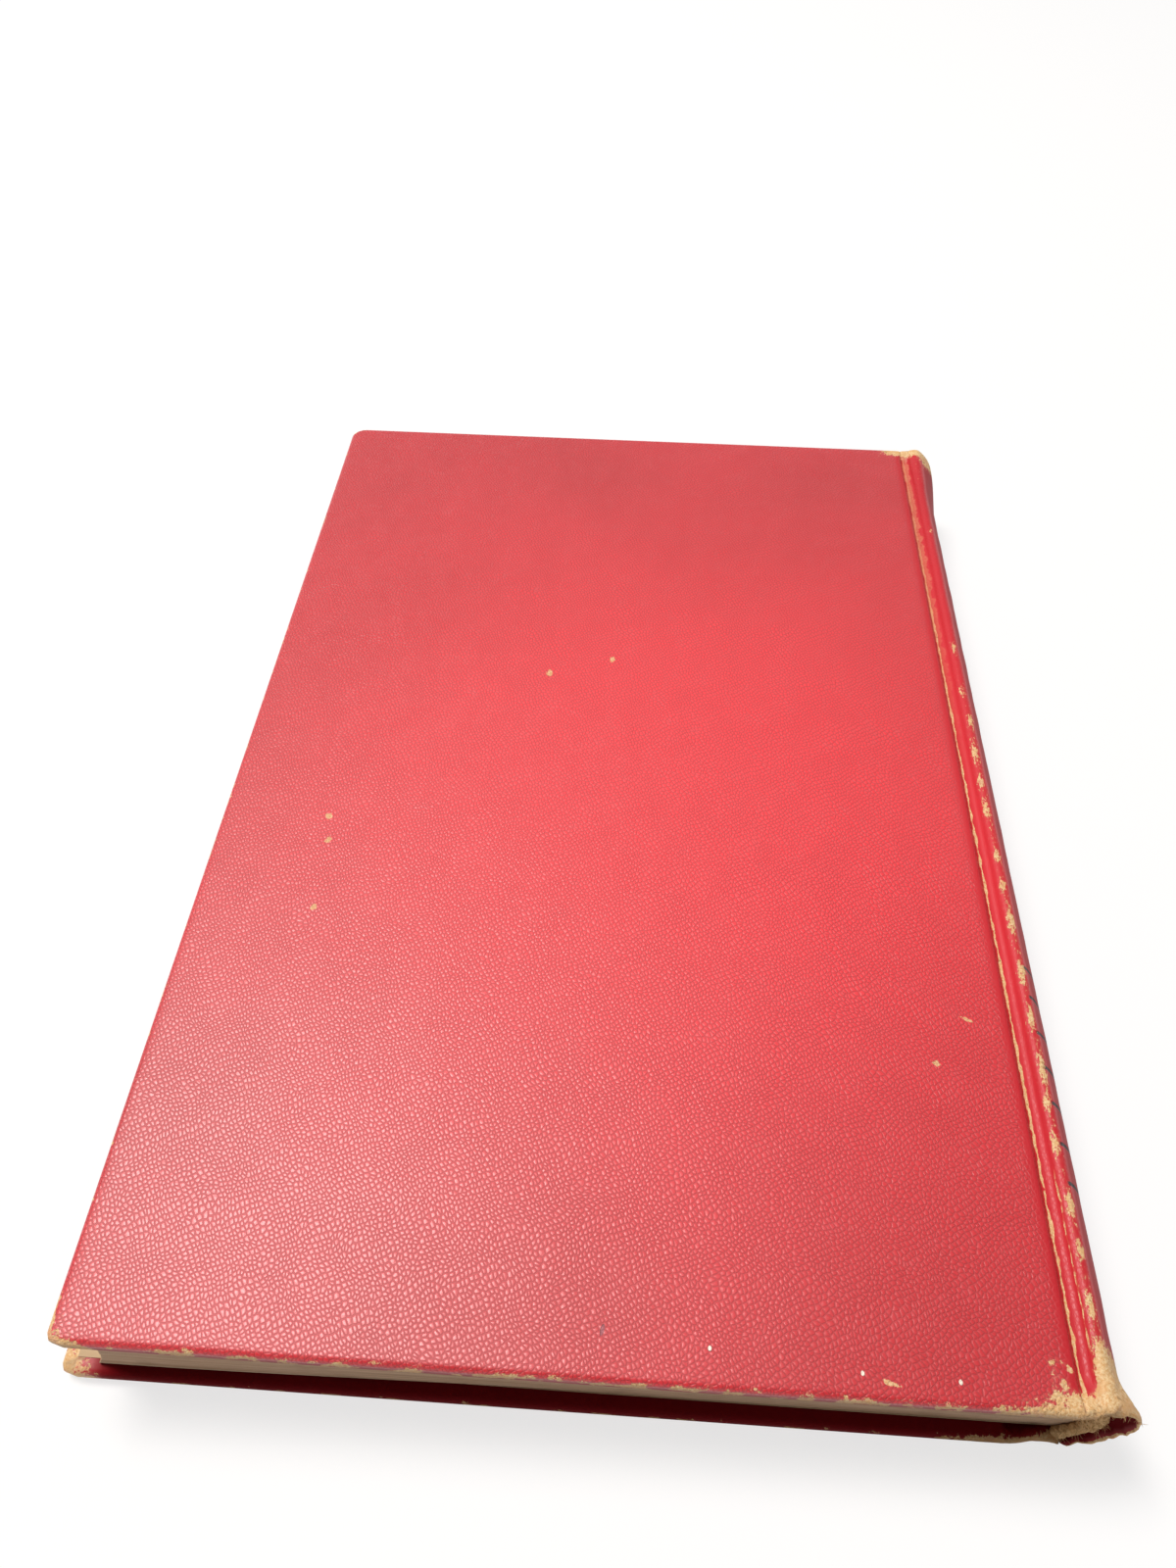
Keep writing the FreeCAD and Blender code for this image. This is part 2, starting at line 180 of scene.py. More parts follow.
soft_lamp("window_left", (-0.56, 0.33, 1.60), (-0.02, -0.03, 0.02), 0.60, 31.2, "#FFFAF7")
bpy.context.scene.view_settings.view_transform = "Standard"

# %% [markdown]
# Sizes
#
# Everything is drawn in millimetres in the frame's own axes: X to the spine, Y to the head, Z up.
# The boxes of the solids give the outer sizes. A few values that a box can't tell, such as the
# depth of the groove, are named here with the sizes that the solids were built from.

# %% Sizes from the frame


def box_mm(name):
    low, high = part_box(name)
    return Vector(low) / MM, Vector(high) / MM


back_low, back_high = box_mm("back_covering")
front_low, front_high = box_mm("front_covering")
_, spine_high = box_mm("spine_covering")
pages_low, pages_high = box_mm("text_block")
TOP = back_high.z
TAIL, HEAD = back_low.y, back_high.y
BOARD_DEEP = back_high.z - back_low.z
COVER_ROLL = 1.6
JOINT_DEEP = 1.4
SLIT_HALF = 0.15
ROUND_OUT = 5.2
TURNIN_WIDE = 15.0
EDGE_ROLL = 1.0
CORNER_TAIL = 1.8
CORNER_HEAD = 3.6
BACK_FORE, FRONT_FORE = back_low.x, front_low.x
BACK_EDGE = back_high.x - COVER_ROLL
FRONT_EDGE = front_high.x - COVER_ROLL
RIDGE = spine_high.x - ROUND_OUT
RIDGE_RAMP = 0.9 * (RIDGE - BACK_EDGE - COVER_ROLL - 2 * SLIT_HALF)
print("cover", round(BOARD_DEEP, 2), "mm deep, ridge at", round(RIDGE, 2))

# %% [markdown]
# Section of the leather
#
# From the fore edge the leather runs flat over the board, rolls over the board's edge into the
# groove, climbs to the ridge and goes round the spine. Straight lines and arcs that meet without a
# corner draw this section exactly. Each point keeps its normal and its distance along the leather,
# because the grain is a pattern of the flat skin and follows it round.

# %% Section helpers
QUARTER = math.pi / 2


def arc_points(centre, radius, start, end, step, hollow=False):
    count = max(2, round(abs(end - start) * radius / step))
    found = []
    for angle in np.linspace(start, end, count + 1)[1:]:
        out = Vector((math.cos(angle), math.sin(angle)))
        found.append((Vector(centre) + out * radius, -out if hollow else out))
    return found


def line_points(start, end, step):
    a, b = Vector(start), Vector(end)
    count = max(1, round((b - a).length / step))
    along = (b - a).normalized()
    return [(a.lerp(b, i / count), Vector((-along.y, along.x))) for i in range(1, count + 1)]


def s_curl(run, drop):
    # Radius of the two equal arcs that take the leather down by drop over run.
    return (run ** 2 + drop ** 2) / (4 * drop)


COVER_CURL, COVER_TURN = s_curl(COVER_ROLL, JOINT_DEEP), 2 * math.atan(JOINT_DEEP / COVER_ROLL)
RIDGE_CURL, RIDGE_TURN = s_curl(RIDGE_RAMP, JOINT_DEEP), 2 * math.atan(JOINT_DEEP / RIDGE_RAMP)
MIDDLE = TOP / 2
RIDGE_UP = MIDDLE - RIDGE_CURL
SPINE_ROUND = (RIDGE_UP ** 2 + ROUND_OUT ** 2 - RIDGE_CURL ** 2) / (2 * (ROUND_OUT - RIDGE_CURL))
SPINE_MID = spine_high.x - SPINE_ROUND
BLEND_TURN = math.atan2(RIDGE_UP, RIDGE - SPINE_MID)
FINE, MEDIUM, COARSE = 0.25, 0.7, 1.5


def cover_section(fore, edge, with_spine):
    # The top cover's section from left to right. The lower cover is the same one turned over.
    groove = TOP - JOINT_DEEP
    points = [(Vector((fore + EDGE_ROLL, TOP)), Vector((0, 1)))]
    points += line_points((fore + EDGE_ROLL, TOP), (edge, TOP), COARSE)
    points += arc_points((edge, TOP - COVER_CURL), COVER_CURL, QUARTER, QUARTER - COVER_TURN, FINE)
    points += arc_points((edge + COVER_ROLL, groove + COVER_CURL), COVER_CURL,
                         -QUARTER - COVER_TURN, -QUARTER, FINE, True)
    points += line_points((edge + COVER_ROLL, groove), (RIDGE - RIDGE_RAMP, groove), FINE)
    points += arc_points((RIDGE - RIDGE_RAMP, groove + RIDGE_CURL), RIDGE_CURL,
                         -QUARTER, -QUARTER + RIDGE_TURN, FINE, True)
    if not with_spine:
        return points
    points += arc_points((RIDGE, TOP - RIDGE_CURL), RIDGE_CURL, QUARTER + RIDGE_TURN, QUARTER, FINE)
    points += arc_points((RIDGE, TOP - RIDGE_CURL), RIDGE_CURL, QUARTER, BLEND_TURN, FINE)
    points += arc_points((SPINE_MID, MIDDLE), SPINE_ROUND, BLEND_TURN, -BLEND_TURN, MEDIUM)
    points += arc_points((RIDGE, RIDGE_CURL), RIDGE_CURL, -BLEND_TURN, -QUARTER, FINE)
    return points


def smooth(low, high, value):
    share = min(1.0, max(0.0, (value - low) / (high - low)))
    return share * share * (3 - 2 * share)


def swell(value, middle, half):
    return math.exp(-((value - middle) / half) ** 2)


# %% [markdown]
# Leather over the boards
#
# The skin is one grid over the outside. At the head, the tail and the fore edge it rolls over the
# board and turns in, so rings of points go on from the grid's rim, down the edge and back along the
# inside. The square grid is eased into round corners first, because leather has no sharp ones. The
# mesh keeps each point's place on the flat skin, its wear and how much shade is painted on it in
# attributes that the finish reads.

# %% Leather mesh
ROLL_STEPS = 5
SPINE_DEEP = 1.4
GROOVE_DEEP = 0.9
TORN_DEEP = 0.7
ROW_STEP = 0.62
LOWER_FLAT = 50.0
WELD_WITHIN = 0.000008
INNER_RINGS = (2.0, 3.0, 4.5, 7.0, 10.0, TURNIN_WIDE)


def inner_deep(x, along, edge):
    # How deep the inside of the leather is below its face: board, then bare joint, then spine.
    if along > RIDGE_ALONG:
        return SPINE_DEEP
    board = 1 - smooth(edge - 0.2, edge + COVER_ROLL, x)
    spine = smooth(RIDGE - RIDGE_RAMP, RIDGE, x)
    return GROOVE_DEEP + board * (BOARD_DEEP - GROOVE_DEEP) + spine * (SPINE_DEEP - GROOVE_DEEP)


def edge_deep(along, worn_end):
    # How deep the edge itself hangs. Turned-in leather fills the joint, and on the torn end it
    # makes a lump on the ridge, past which only the thin outer leather is left.
    thin, past = (TORN_DEEP, 1.8) if worn_end else (SPINE_DEEP, -0.5)
    spine = thin + (SPINE_DEEP - thin) * smooth(WHOLE_ALONG - 4, WHOLE_ALONG, along)
    share = smooth(RIDGE_ALONG + past, RIDGE_ALONG + past + 4, along)
    return BOARD_DEEP + (spine - BOARD_DEEP) * share


def edge_profile(deep, inside):
    # Pairs of distance in from the outline and depth below the face, from face to inside.
    roll = min(EDGE_ROLL, deep / 2)
    turns = [QUARTER * step / ROLL_STEPS for step in range(ROLL_STEPS + 1)]
    pairs = [(EDGE_ROLL * (1 - math.sin(a)), roll * (1 - math.cos(a))) for a in turns[1:]]
    pairs += [(0.0, deep / 2)]
    pairs += [(EDGE_ROLL * (1 - math.cos(a)), deep - roll * (1 - math.sin(a))) for a in turns]
    return pairs + [(inset, deep + (inside - deep) * smooth(EDGE_ROLL, 2.6, inset))
                    for inset in INNER_RINGS]


def corner_at(y, fore):
    end, radius, sign = (TAIL, CORNER_TAIL, 1) if y < 0 else (HEAD, CORNER_HEAD, -1)
    inner = radius - EDGE_ROLL
    return Vector((fore + EDGE_ROLL + inner, end + sign * (EDGE_ROLL + inner))), inner, sign


def ease_corner(x, y, fore):
    # Square grid to round corner, by the map that takes a square on to a disc.
    centre, inner, sign = corner_at(y, fore)
    a, b = (centre.x - x) / inner, (centre.y - y) * sign / inner
    if a <= 0 or b <= 0:
        return x, y
    a, b = a * math.sqrt(1 - b * b / 2), b * math.sqrt(1 - a * a / 2)
    return centre.x - a * inner, centre.y - b * inner * sign


def corner_out(at, fore):
    # Which way the rim faces at a point, seen from above.
    centre, _, sign = corner_at(at.y, fore)
    across, along = at.x - centre.x, (at.y - centre.y) * sign
    if across < 0 and along < 0:
        return Vector((across, along * sign, 0)).normalized()
    return Vector((0, -sign, 0)) if along < 0 else Vector((-1, 0, 0))


def turn_in(cell, inset, fore):
    # Where a rim point goes when the edge is followed inwards, seen from above.
    at = cell["at"]
    out = corner_out(at, fore)
    _, inner, sign = corner_at(at.y, fore)
    move = EDGE_ROLL - inset
    shift = out * max(move, -inner)
    beyond = max(0.0, -move - inner)
    if abs(out.y) > 0.01:
        shift.y += sign * beyond
    if abs(out.x) > 0.01:
        shift.x += beyond
    found = at + shift
    if abs(out.x) < 0.01:
        found.x = max(found.x, fore + inset)
    else:
        found.y = max(found.y, TAIL + inset) if at.y < 0 else min(found.y, HEAD - inset)
    return found


def join_rings(mesh, rings, closed):
    # Faces between each row of points and the next.
    for below, above in zip(rings, rings[1:]):
        for i in range(len(below) - (not closed)):
            after = (i + 1) % len(below)
            mesh.faces.new((below[i], below[after], above[after], above[i]))


def add_piece(name, mesh, soft=True):
    # Makes a piece of the scene from a drawn mesh.
    data = bpy.data.meshes.new(name)
    mesh.to_mesh(data)
    mesh.free()
    if soft:
        data.shade_smooth()
    piece = bpy.data.objects.new(name, data)
    bpy.context.collection.objects.link(piece)
    print(name, len(data.polygons), "faces")
    return piece


def build_leather(name, points, fore, edge, flipped, torn, reshape, wear_at):
    span = HEAD - TAIL - 2 * EDGE_ROLL
    rows = np.linspace(TAIL + EDGE_ROLL, HEAD - EDGE_ROLL, round(span / ROW_STEP) + 1)
    gone = [fore + EDGE_ROLL - edge]
    for before, after in zip(points, points[1:]):
        gone.append(gone[-1] + (after[0] - before[0]).length)
    grid = []
    for y in rows:
        line = []
        for (place, normal), along in zip(points, gone):
            x, tall = ease_corner(place.x, y, fore)
            flat = Vector((along + x - place.x, tall, LOWER_FLAT * flipped))
            outward = Vector((normal.x, 0, normal.y))
            lean = smooth(RIDGE_ALONG - 1, RIDGE_ALONG + 1.5, along)
            line.append({"at": Vector((x, tall, place.y)), "flat": flat, "normal": outward,
                         "rim": (outward * lean + Vector((0, 0, 1 - lean))).normalized(),
                         "deep": edge_deep(along, y < 0 and torn),
                         "inside": inner_deep(place.x, along, edge)})
        grid.append(line)
    skin = bmesh.new()
    layers = [skin.verts.layers.float.new(word) for word in ("worn", "ironed", "shaded")]
    flat_layer = skin.verts.layers.float_vector.new("flat")

    def add_point(at, flat, normal, over):
        vert = skin.verts.new(reshape(at, flat, normal, over) * MM)
        vert[flat_layer] = flat * MM
        for layer, amount in zip(layers, wear_at(at, flat, over)):
            vert[layer] = amount
        return vert

    made = [[add_point(c["at"], c["flat"], c["normal"], 0.0) for c in line] for line in grid]
    join_rings(skin, made, False)
    last, spine = len(grid) - 1, len(grid[0]) - 1
    rim = [(0, column) for column in range(spine, 0, -1)]
    rim += [(row, 0) for row in range(last)]
    rim += [(last, column) for column in range(spine + 1)]
    before = [made[row][column] for row, column in rim]
    profiles = {y: [edge_profile(cell["deep"], cell["inside"]) for cell in grid[y]]
                for y in (0, last)}
    path = {spot: (grid[row][column]["at"], 0.0) for spot, (row, column) in enumerate(rim)}
    for ring in range(len(profiles[0][0])):
        after = []
        for spot, (row, column) in enumerate(rim):
            cell = grid[row][column]
            inset, deep = profiles[last if row == last else 0][column][ring]
            at = turn_in(cell, inset, fore) - cell["rim"] * deep
            over = path[spot][1] + (at - path[spot][0]).length
            path[spot] = (at, over)
            flat = cell["flat"] + corner_out(cell["at"], fore) * over
            after.append(add_point(at, flat, cell["normal"], over))
        join_rings(skin, (before, after), False)
        before = after
    if flipped:
        for vert in skin.verts:
            vert.co.z = TOP * MM - vert.co.z
        bmesh.ops.reverse_faces(skin, faces=skin.faces)
    bmesh.ops.remove_doubles(skin, verts=skin.verts, dist=WELD_WITHIN)
    return add_piece(name, skin)


# %% [markdown]
# Wear and shape of the leather
#
# Years of handling left pale tan leather where the dye rubbed off: at the corners, along the board
# edges, in patches on the ridge, and over the torn tail of the spine. The mesh holds how worn each
# point is, and the finish turns that into ragged patches. The tail of the spine has also been
# pulled, so it flares outwards and its end is torn back.

# %% Wear and shape
# Distances in millimetres: along the spine from its tail, and along the skin from the board's edge.
RIDGE_PATCHES = ((200, 1.2), (157, 2.5), (143, 1.6), (134, 2.0), (125, 3.0), (117, 1.5), (110, 2.4),
                 (98, 1.5), (91, 1.3), (83, 3.0), (72, 2.6), (63, 2.2), (53, 3.2), (47, 1.4),
                 (40, 2.0), (30, 2.4), (23, 1.4), (15, 2.2))
FLARE_OUT, FLARE_TALL = 2.3, 7.0
HEAD_FLARE, HEAD_FLARE_TALL = 1.7, 24.0
TEAR_RIDGE, TEAR_LOWER = 0.9, 0.4


def wave(x, y, size, seed=0.0):
    return noise.noise(Vector((x / size, y / size, seed)))


def joint_fill(along, tall):
    # How far the lump of turned-in leather lifts the groove near the head and the tail.
    ends = max(1 - smooth(0.6, 5.5, tall - TAIL), smooth(HEAD - 5.0, HEAD - 1.0, tall))
    inside = smooth(0, 0.6, along) * (1 - smooth(RIDGE_ALONG - 0.6, RIDGE_ALONG, along))
    sunk = TOP - np.interp(along, ALONG_TABLE, DROP_TABLE)
    return 0.85 * ends * inside * sunk


def nap(flat, share):
    # The rubbed flesh of the leather stands up in tufts.
    return share * (0.30 * wave(flat.x, flat.y, 1.9, 20) + 0.20 * wave(flat.x, flat.y, 1.0, 21)
                    + 0.10 * wave(flat.x, flat.y, 0.5, 22))


def reshape_back(at, flat, normal, over):
    found = at.copy()
    from_tail = max(0.0, at.y - TAIL)
    if over == 0 and flat.x < 0:
        found.z += 0.05 * wave(flat.x, flat.y, 24, 1) + 0.02 * wave(flat.x, flat.y, 7, 2)
    found.z += joint_fill(flat.x, at.y)
    rough = smooth(-6, 3, flat.x) * (1 - smooth(3, 7, from_tail))
    found += (normal + Vector((0, -0.6, 0))) * nap(flat, rough)
    share = smooth(RIDGE_ALONG - 4, RIDGE_ALONG + 1.5, flat.x)
    if share <= 0:
        return found
    round_share = (flat.x - RIDGE_ALONG) / (WHOLE_ALONG - RIDGE_ALONG)
    tear = TEAR_RIDGE + (TEAR_LOWER - TEAR_RIDGE) * smooth(0.15, 0.75, round_share)
    tear += 0.45 * wave(flat.x, 0, 1.6, 5) + 0.2 * wave(flat.x, 0, 0.5, 6)
    found.y += share * tear * (1 - smooth(0, 14, from_tail))
    near = (1 - smooth(0, FLARE_TALL, from_tail)) ** 1.3
    flare = FLARE_OUT * swell(round_share, 0.38, 0.28) * near
    near_head = smooth(HEAD - HEAD_FLARE_TALL, HEAD - 1, at.y)
    flare += HEAD_FLARE * swell(round_share, 0.3, 0.3) * near_head
    found += normal * (flare + 0.12 * share * wave(flat.x, flat.y, 6, 8))
    return found


def reshape_front(at, flat, normal, over):
    found = at.copy()
    from_tail = max(0.0, at.y - TAIL)
    found.z += joint_fill(flat.x, at.y)
    rough = smooth(-8, 3, flat.x) * (1 - smooth(2, 6, from_tail))
    on_ridge = smooth(RIDGE_ALONG - 4, RIDGE_ALONG, flat.x)
    found.y += on_ridge * TEAR_LOWER * (1 - smooth(0, 14, from_tail))
    return found + normal * nap(flat, rough)


def corner_wear(at, fore, over):
    # The two fore corners, the tail one much more rubbed than the head one.
    tail = (Vector((at.x, at.y)) - Vector((fore + 0.6, TAIL + 0.6))).length
    head = (Vector((at.x, at.y)) - Vector((fore + 1.4, HEAD - 1.4))).length
    on_edge = 0.25 + 0.75 * smooth(-0.3, 0.6, over)
    return (0.85 * swell(tail, 0, 4.6) + 0.30 * swell(head, 0, 4.0)) * on_edge


def edge_wear(flat, over, more):
    # Chips a few millimetres long on the rolled edges, closer together where there is more wear.
    chipped = smooth(0.16, 0.28, wave(flat.x, flat.y, 2.6, 3) + more)
    return swell(over, 1.9, 1.5) * (0.14 + 0.64 * chipped)


def wear_back(at, flat, over):
    from_tail = at.y - TAIL
    worn = corner_wear(at, BACK_FORE, over)
    if over:
        worn += edge_wear(flat, over, (0.15 + 0.18 * smooth(-80, -15, flat.x)) * (from_tail < 9))
    for tall, reach in RIDGE_PATCHES:
        drift = 0.35 * math.sin(tall * 1.7)
        worn += 0.47 * swell(flat.x, RIDGE_ALONG - 0.1 + drift, 0.75) * swell(from_tail, tall, reach)
    chain = 0.20 * (1 - smooth(120, 170, from_tail)) + 0.08
    worn += chain * swell(flat.x, RIDGE_ALONG, 1.3)
    on_spine = smooth(RIDGE_ALONG - 2.6, RIDGE_ALONG + 0.4, flat.x)
    reach = 9.5 - 4.5 * smooth(RIDGE_ALONG + 2, RIDGE_ALONG + 12, flat.x)
    worn += 0.95 * on_spine * (1 - smooth(reach - 4, reach + 3, from_tail))
    near_joint = smooth(-13, 1, flat.x)
    worn += 0.75 * near_joint * (1 - smooth(0.6, 3.6, from_tail - 1.2 * near_joint))
    worn += 0.5 * swell(flat.x, -2.2, 1.2) * swell(from_tail, 6, 2.6)
    head_end = smooth(HEAD - 4.4, HEAD - 1.8, at.y)
    on_round = smooth(RIDGE_ALONG, RIDGE_ALONG + 2, flat.x)
    head_end += (1 - head_end) * smooth(HEAD - 9, HEAD - 3, at.y) * on_round
    head_line = 0.2 * smooth(HEAD - 26, HEAD, at.y) * swell(flat.x, RIDGE_ALONG + 1.5, 2.5)
    worn += 0.8 * head_end * smooth(-9, 0, flat.x) + head_line
    groove = smooth(-1.4, 0.4, flat.x) * (1 - smooth(RIDGE_ALONG, RIDGE_ALONG + 6, flat.x) * 0.6)
    ironed = max(groove, 0.8 * smooth(0.6, 1.8, over))
    # Past the lump the turned-in leather is gone, and the inside of the torn end shows dyed.
    lower = smooth(RIDGE_ALONG + 5, RIDGE_ALONG + 9, flat.x)
    worn *= 1 - lower * smooth(1.0, 1.7, over) * (from_tail < 20)
    # The third value is painted shade: partly on the rolled edges, and fully from this depth inward,
    # in the turn-ins and the hollow of the torn end.
    deep = 3.4 - 2.2 * lower
    return worn, ironed, max(0.75 * smooth(0.9, 2.0, over), smooth(deep, deep + 1.0, over))


def wear_front(at, flat, over):
    worn = corner_wear(at, FRONT_FORE, over)
    if over:
        worn += edge_wear(flat, over, -0.05)
    from_tail = at.y - TAIL
    near_joint = smooth(-14, 0, flat.x)
    worn += 0.75 * near_joint * (1 - smooth(0.8, 3.5, from_tail)) * (1 - smooth(3, 5, over))
    # Painted shade on the lower cover's edges and turn-ins, left off along its fore edge.
    shaded = smooth(FRONT_FORE + 2, FRONT_FORE + 8, at.x) * smooth(0.5, 1.6, over)
    return worn, min(1.0, over) * 0.8, shaded


SECTION = cover_section(BACK_FORE, BACK_EDGE, True)
ALONG_TABLE, DROP_TABLE = [BACK_FORE + EDGE_ROLL - BACK_EDGE], [TOP]
for (spot, _), (after, _) in zip(SECTION, SECTION[1:]):
    ALONG_TABLE.append(ALONG_TABLE[-1] + (after - spot).length)
    DROP_TABLE.append(after.y)
WHOLE_ALONG = ALONG_TABLE[-1]
RIDGE_ALONG = ALONG_TABLE[max(i for i, (spot, _) in enumerate(SECTION)
                              if spot.x < RIDGE + 0.01 and spot.y > MIDDLE)]
print("leather runs", round(RIDGE_ALONG, 2), "mm from board edge to ridge,",
      round(WHOLE_ALONG, 2), "mm to the lower ridge")
back_leather = build_leather("back_cover_leather", SECTION, BACK_FORE, BACK_EDGE, False, True,
                             reshape_back, wear_back)
front_leather = build_leather("front_cover_leather", cover_section(FRONT_FORE, FRONT_EDGE, False),
                              FRONT_FORE, FRONT_EDGE, True, False, reshape_front, wear_front)
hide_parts("back_covering", "spine_covering")
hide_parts("front_covering")

# %% [markdown]
# Red goatskin, dyed and pressed with a fine grain
#
# Bookbinding goatskin is dyed through the grain side only, so it is deep red on top and tan
# underneath. A plate presses rows of tiny pebbles into it, about 0.7 by 0.9 mm, and handling
# polishes their tops to a soft gloss. Where the skin is rubbed, the tan shows.

# %% Leather grain
GRAIN_WIDE, GRAIN_LONG, GRAIN_TURN = 0.68, 0.86, math.radians(30)
GRAIN_SWAY = (2.6, 2.6, 0.0)
RUB_BOX, WRINKLE_BOX = (0.45, 1.1, 1.0), (0.35, 1.6, 1.0)
IN_BOX = {"vector_type": "TEXTURE"}
# Soft noises over the skin: size of the blotches in millimetres, detail and roughness.
CLOUDS = {"sway": (9.0, 1.0, 0.5), "press": (11.0, 2.0, 0.5), "rub": (1.1, 5.0, 0.7),
          "width": (3.4, 3.0, 0.5), "crease": (1.6, 4.0, 0.5), "blur": (3.0, 4.0, 0.5),
          "crack": (5.0, 4.0, 0.5), "gap": (2.6, 3.0, 0.5), "break": (2.0, 3.0, 0.5),
          "dye": (45.0, 3.0, 0.5), "flush": (4.0, 5.0, 0.65), "tuft": (0.45, 4.0, 0.75),
          "pale": (2.5, 3.0, 0.5), "crevice": (1.8, 3.0, 0.6), "pink": (3.6, 4.0, 0.6),
          "pore": (0.3, 2.0, 0.5), "scuff": (0.4, 4.0, 0.75)}


def millimetres(tree, kind, output, **settings):
    where = node(tree, kind, **settings).outputs[output]
    return node(tree, "VectorMath", {0: where, "Scale": 1 / MM}, operation="SCALE")


def clouds_over(tree, place, rows):
    return {word: node(tree, "TexNoise", {"Vector": place, "Scale": 1 / size, "Detail": detail,
                                          "Roughness": rough})
            for word, (size, detail, rough) in rows.items()}


leather, tree = new_material("dyed_goatskin_pressed_grain")
place = millimetres(tree, "Attribute", "Vector", attribute_name="flat")
across, along = node(tree, "SeparateXYZ", (place,)).outputs[:2]
from_tail = node(tree, "Math", (along, TAIL), operation="SUBTRACT")
worn, ironed, shaded = [node(tree, "Attribute", attribute_name=word).outputs["Fac"]
                        for word in ("worn", "ironed", "shaded")]
clouds = clouds_over(tree, place, CLOUDS)
swayed = node(tree, "VectorMath", (clouds["sway"].outputs["Color"], GRAIN_SWAY, place),
              operation="MULTIPLY_ADD")
turned = node(tree, "Mapping", {"Vector": swayed, "Rotation": (0, 0, GRAIN_TURN),
                                "Scale": (GRAIN_WIDE, GRAIN_LONG, 1.0)}, **IN_BOX)
middles, gaps = [node(tree, "TexVoronoi", {"Vector": turned, "Scale": 1.0, "Randomness": 0.62},
                      feature=feature, voronoi_dimensions="2D").outputs["Distance"]
                 for feature in ("F1", "DISTANCE_TO_EDGE")]
domes, valleys, grain_share, pressed = [node(tree, "MapRange", row, **SMOOTH) for row in (
    (middles, 0.10, 0.62, 0.45, 0.0), (gaps, 0.0, 0.22, 1.0, 0.0), (ironed, 0.0, 0.9, 1.0, 0.0),
    (clouds["press"], 0.3, 0.7, 0.88, 1.1))]
pebbles = node(tree, "Math", (domes, valleys), operation="SUBTRACT")
grain_deep = node(tree, "Math", (grain_share, pressed), operation="MULTIPLY")
print("grain", GRAIN_WIDE, "by", GRAIN_LONG, "mm, noises", len(clouds))

# %% [markdown]
# Rubbed places and cracks
#
# The joint bends each time the book is opened, so the skin cracks in lines along it and the tan
# shows. Ridges and edges are rubbed in longer, ragged patches.

# %% Rubbed places and cracks
CREASE_ALONG, CREASE_HALF = 2.3, 0.21
CRACK_ALONG, CRACK_HALF = 4.5, 0.13
CRACK_FROM, CRACK_TO = 11.0, 37.0
FADE_FROM, FADE_TO = 110.0, 215.0

boxes = [node(tree, "Mapping", {"Vector": place, "Scale": box}, **IN_BOX)
         for box in (RUB_BOX, WRINKLE_BOX)]
long_rubs, wrinkles = [
    node(tree, "TexNoise", {"Vector": box, "Scale": 1.0, "Detail": detail, "Roughness": rough})
    for box, detail, rough in zip(boxes, (5.0, 3.0), (0.7, 0.6))]
near_ridge = node(tree, "MapRange", (across, 2.0, 5.0), **SMOOTH)
rubs = node(tree, "Mix", {0: near_ridge, 2: clouds["rub"], 3: long_rubs})
frayed = node(tree, "Math", (rubs, 0.5), operation="SUBTRACT")
ragged = node(tree, "Math", (frayed, 2.0, worn), operation="MULTIPLY_ADD")
tall = node(tree, "Math", (along,), operation="ABSOLUTE")
bare, stained, swelling, gapped, broken, fading, headward, before, after, on_face = [
    node(tree, "MapRange", row, **SMOOTH) for row in (
        (ragged, 0.47, 0.54), (ragged, 0.20, 0.50), (clouds["width"], 0.3, 0.7, 0.35, 1.6),
        (clouds["gap"], 0.3, 0.4), (clouds["break"], 0.42, 0.52, 0.1, 0.95),
        (from_tail, FADE_FROM, FADE_TO, 1.0, 0.4), (from_tail, FADE_FROM, FADE_TO),
        (from_tail, CRACK_TO, CRACK_TO - 5), (from_tail, CRACK_FROM - 3, CRACK_FROM),
        (tall, HEAD - 0.6, HEAD - 1.4))]

# Each crack: its line, half width, wobble, the noise it wobbles by, and the masks that thin it.
CRACKS = ((CREASE_ALONG, CREASE_HALF, 0.7, "crease", (fading, gapped)),
          (CREASE_ALONG + 0.3, 0.9, 0.8, "blur", (headward, 0.22)),
          (CRACK_ALONG, CRACK_HALF, 1.0, "crack", (before, after, broken)))
cracks = 0.0
for line, half, wobble, noise_word, thinned in CRACKS:
    drift = node(tree, "Math", (clouds[noise_word], 0.5), operation="SUBTRACT")
    middle = node(tree, "Math", (drift, wobble, line), operation="MULTIPLY_ADD")
    off = node(tree, "Math", (across, middle), operation="SUBTRACT")
    off = node(tree, "Math", (off,), operation="ABSOLUTE")
    off = node(tree, "Math", (off, swelling), operation="DIVIDE")
    crack = node(tree, "MapRange", (off, half * 0.75, half * 1.2, 1.0, 0.0), **SMOOTH)
    for mask in thinned:
        crack = node(tree, "Math", (crack, mask), operation="MULTIPLY")
    cracks = node(tree, "Math", (cracks, crack), operation="MAXIMUM")
cracks = node(tree, "Math", (cracks, on_face), operation="MULTIPLY")
print("cracks", len(CRACKS))

# %% [markdown]
# Knocks, specks and bars
#
# The knocks and specks are where the photograph shows them. The plain dark bars on the spine stand
# in for its tooling, which is out of sight.

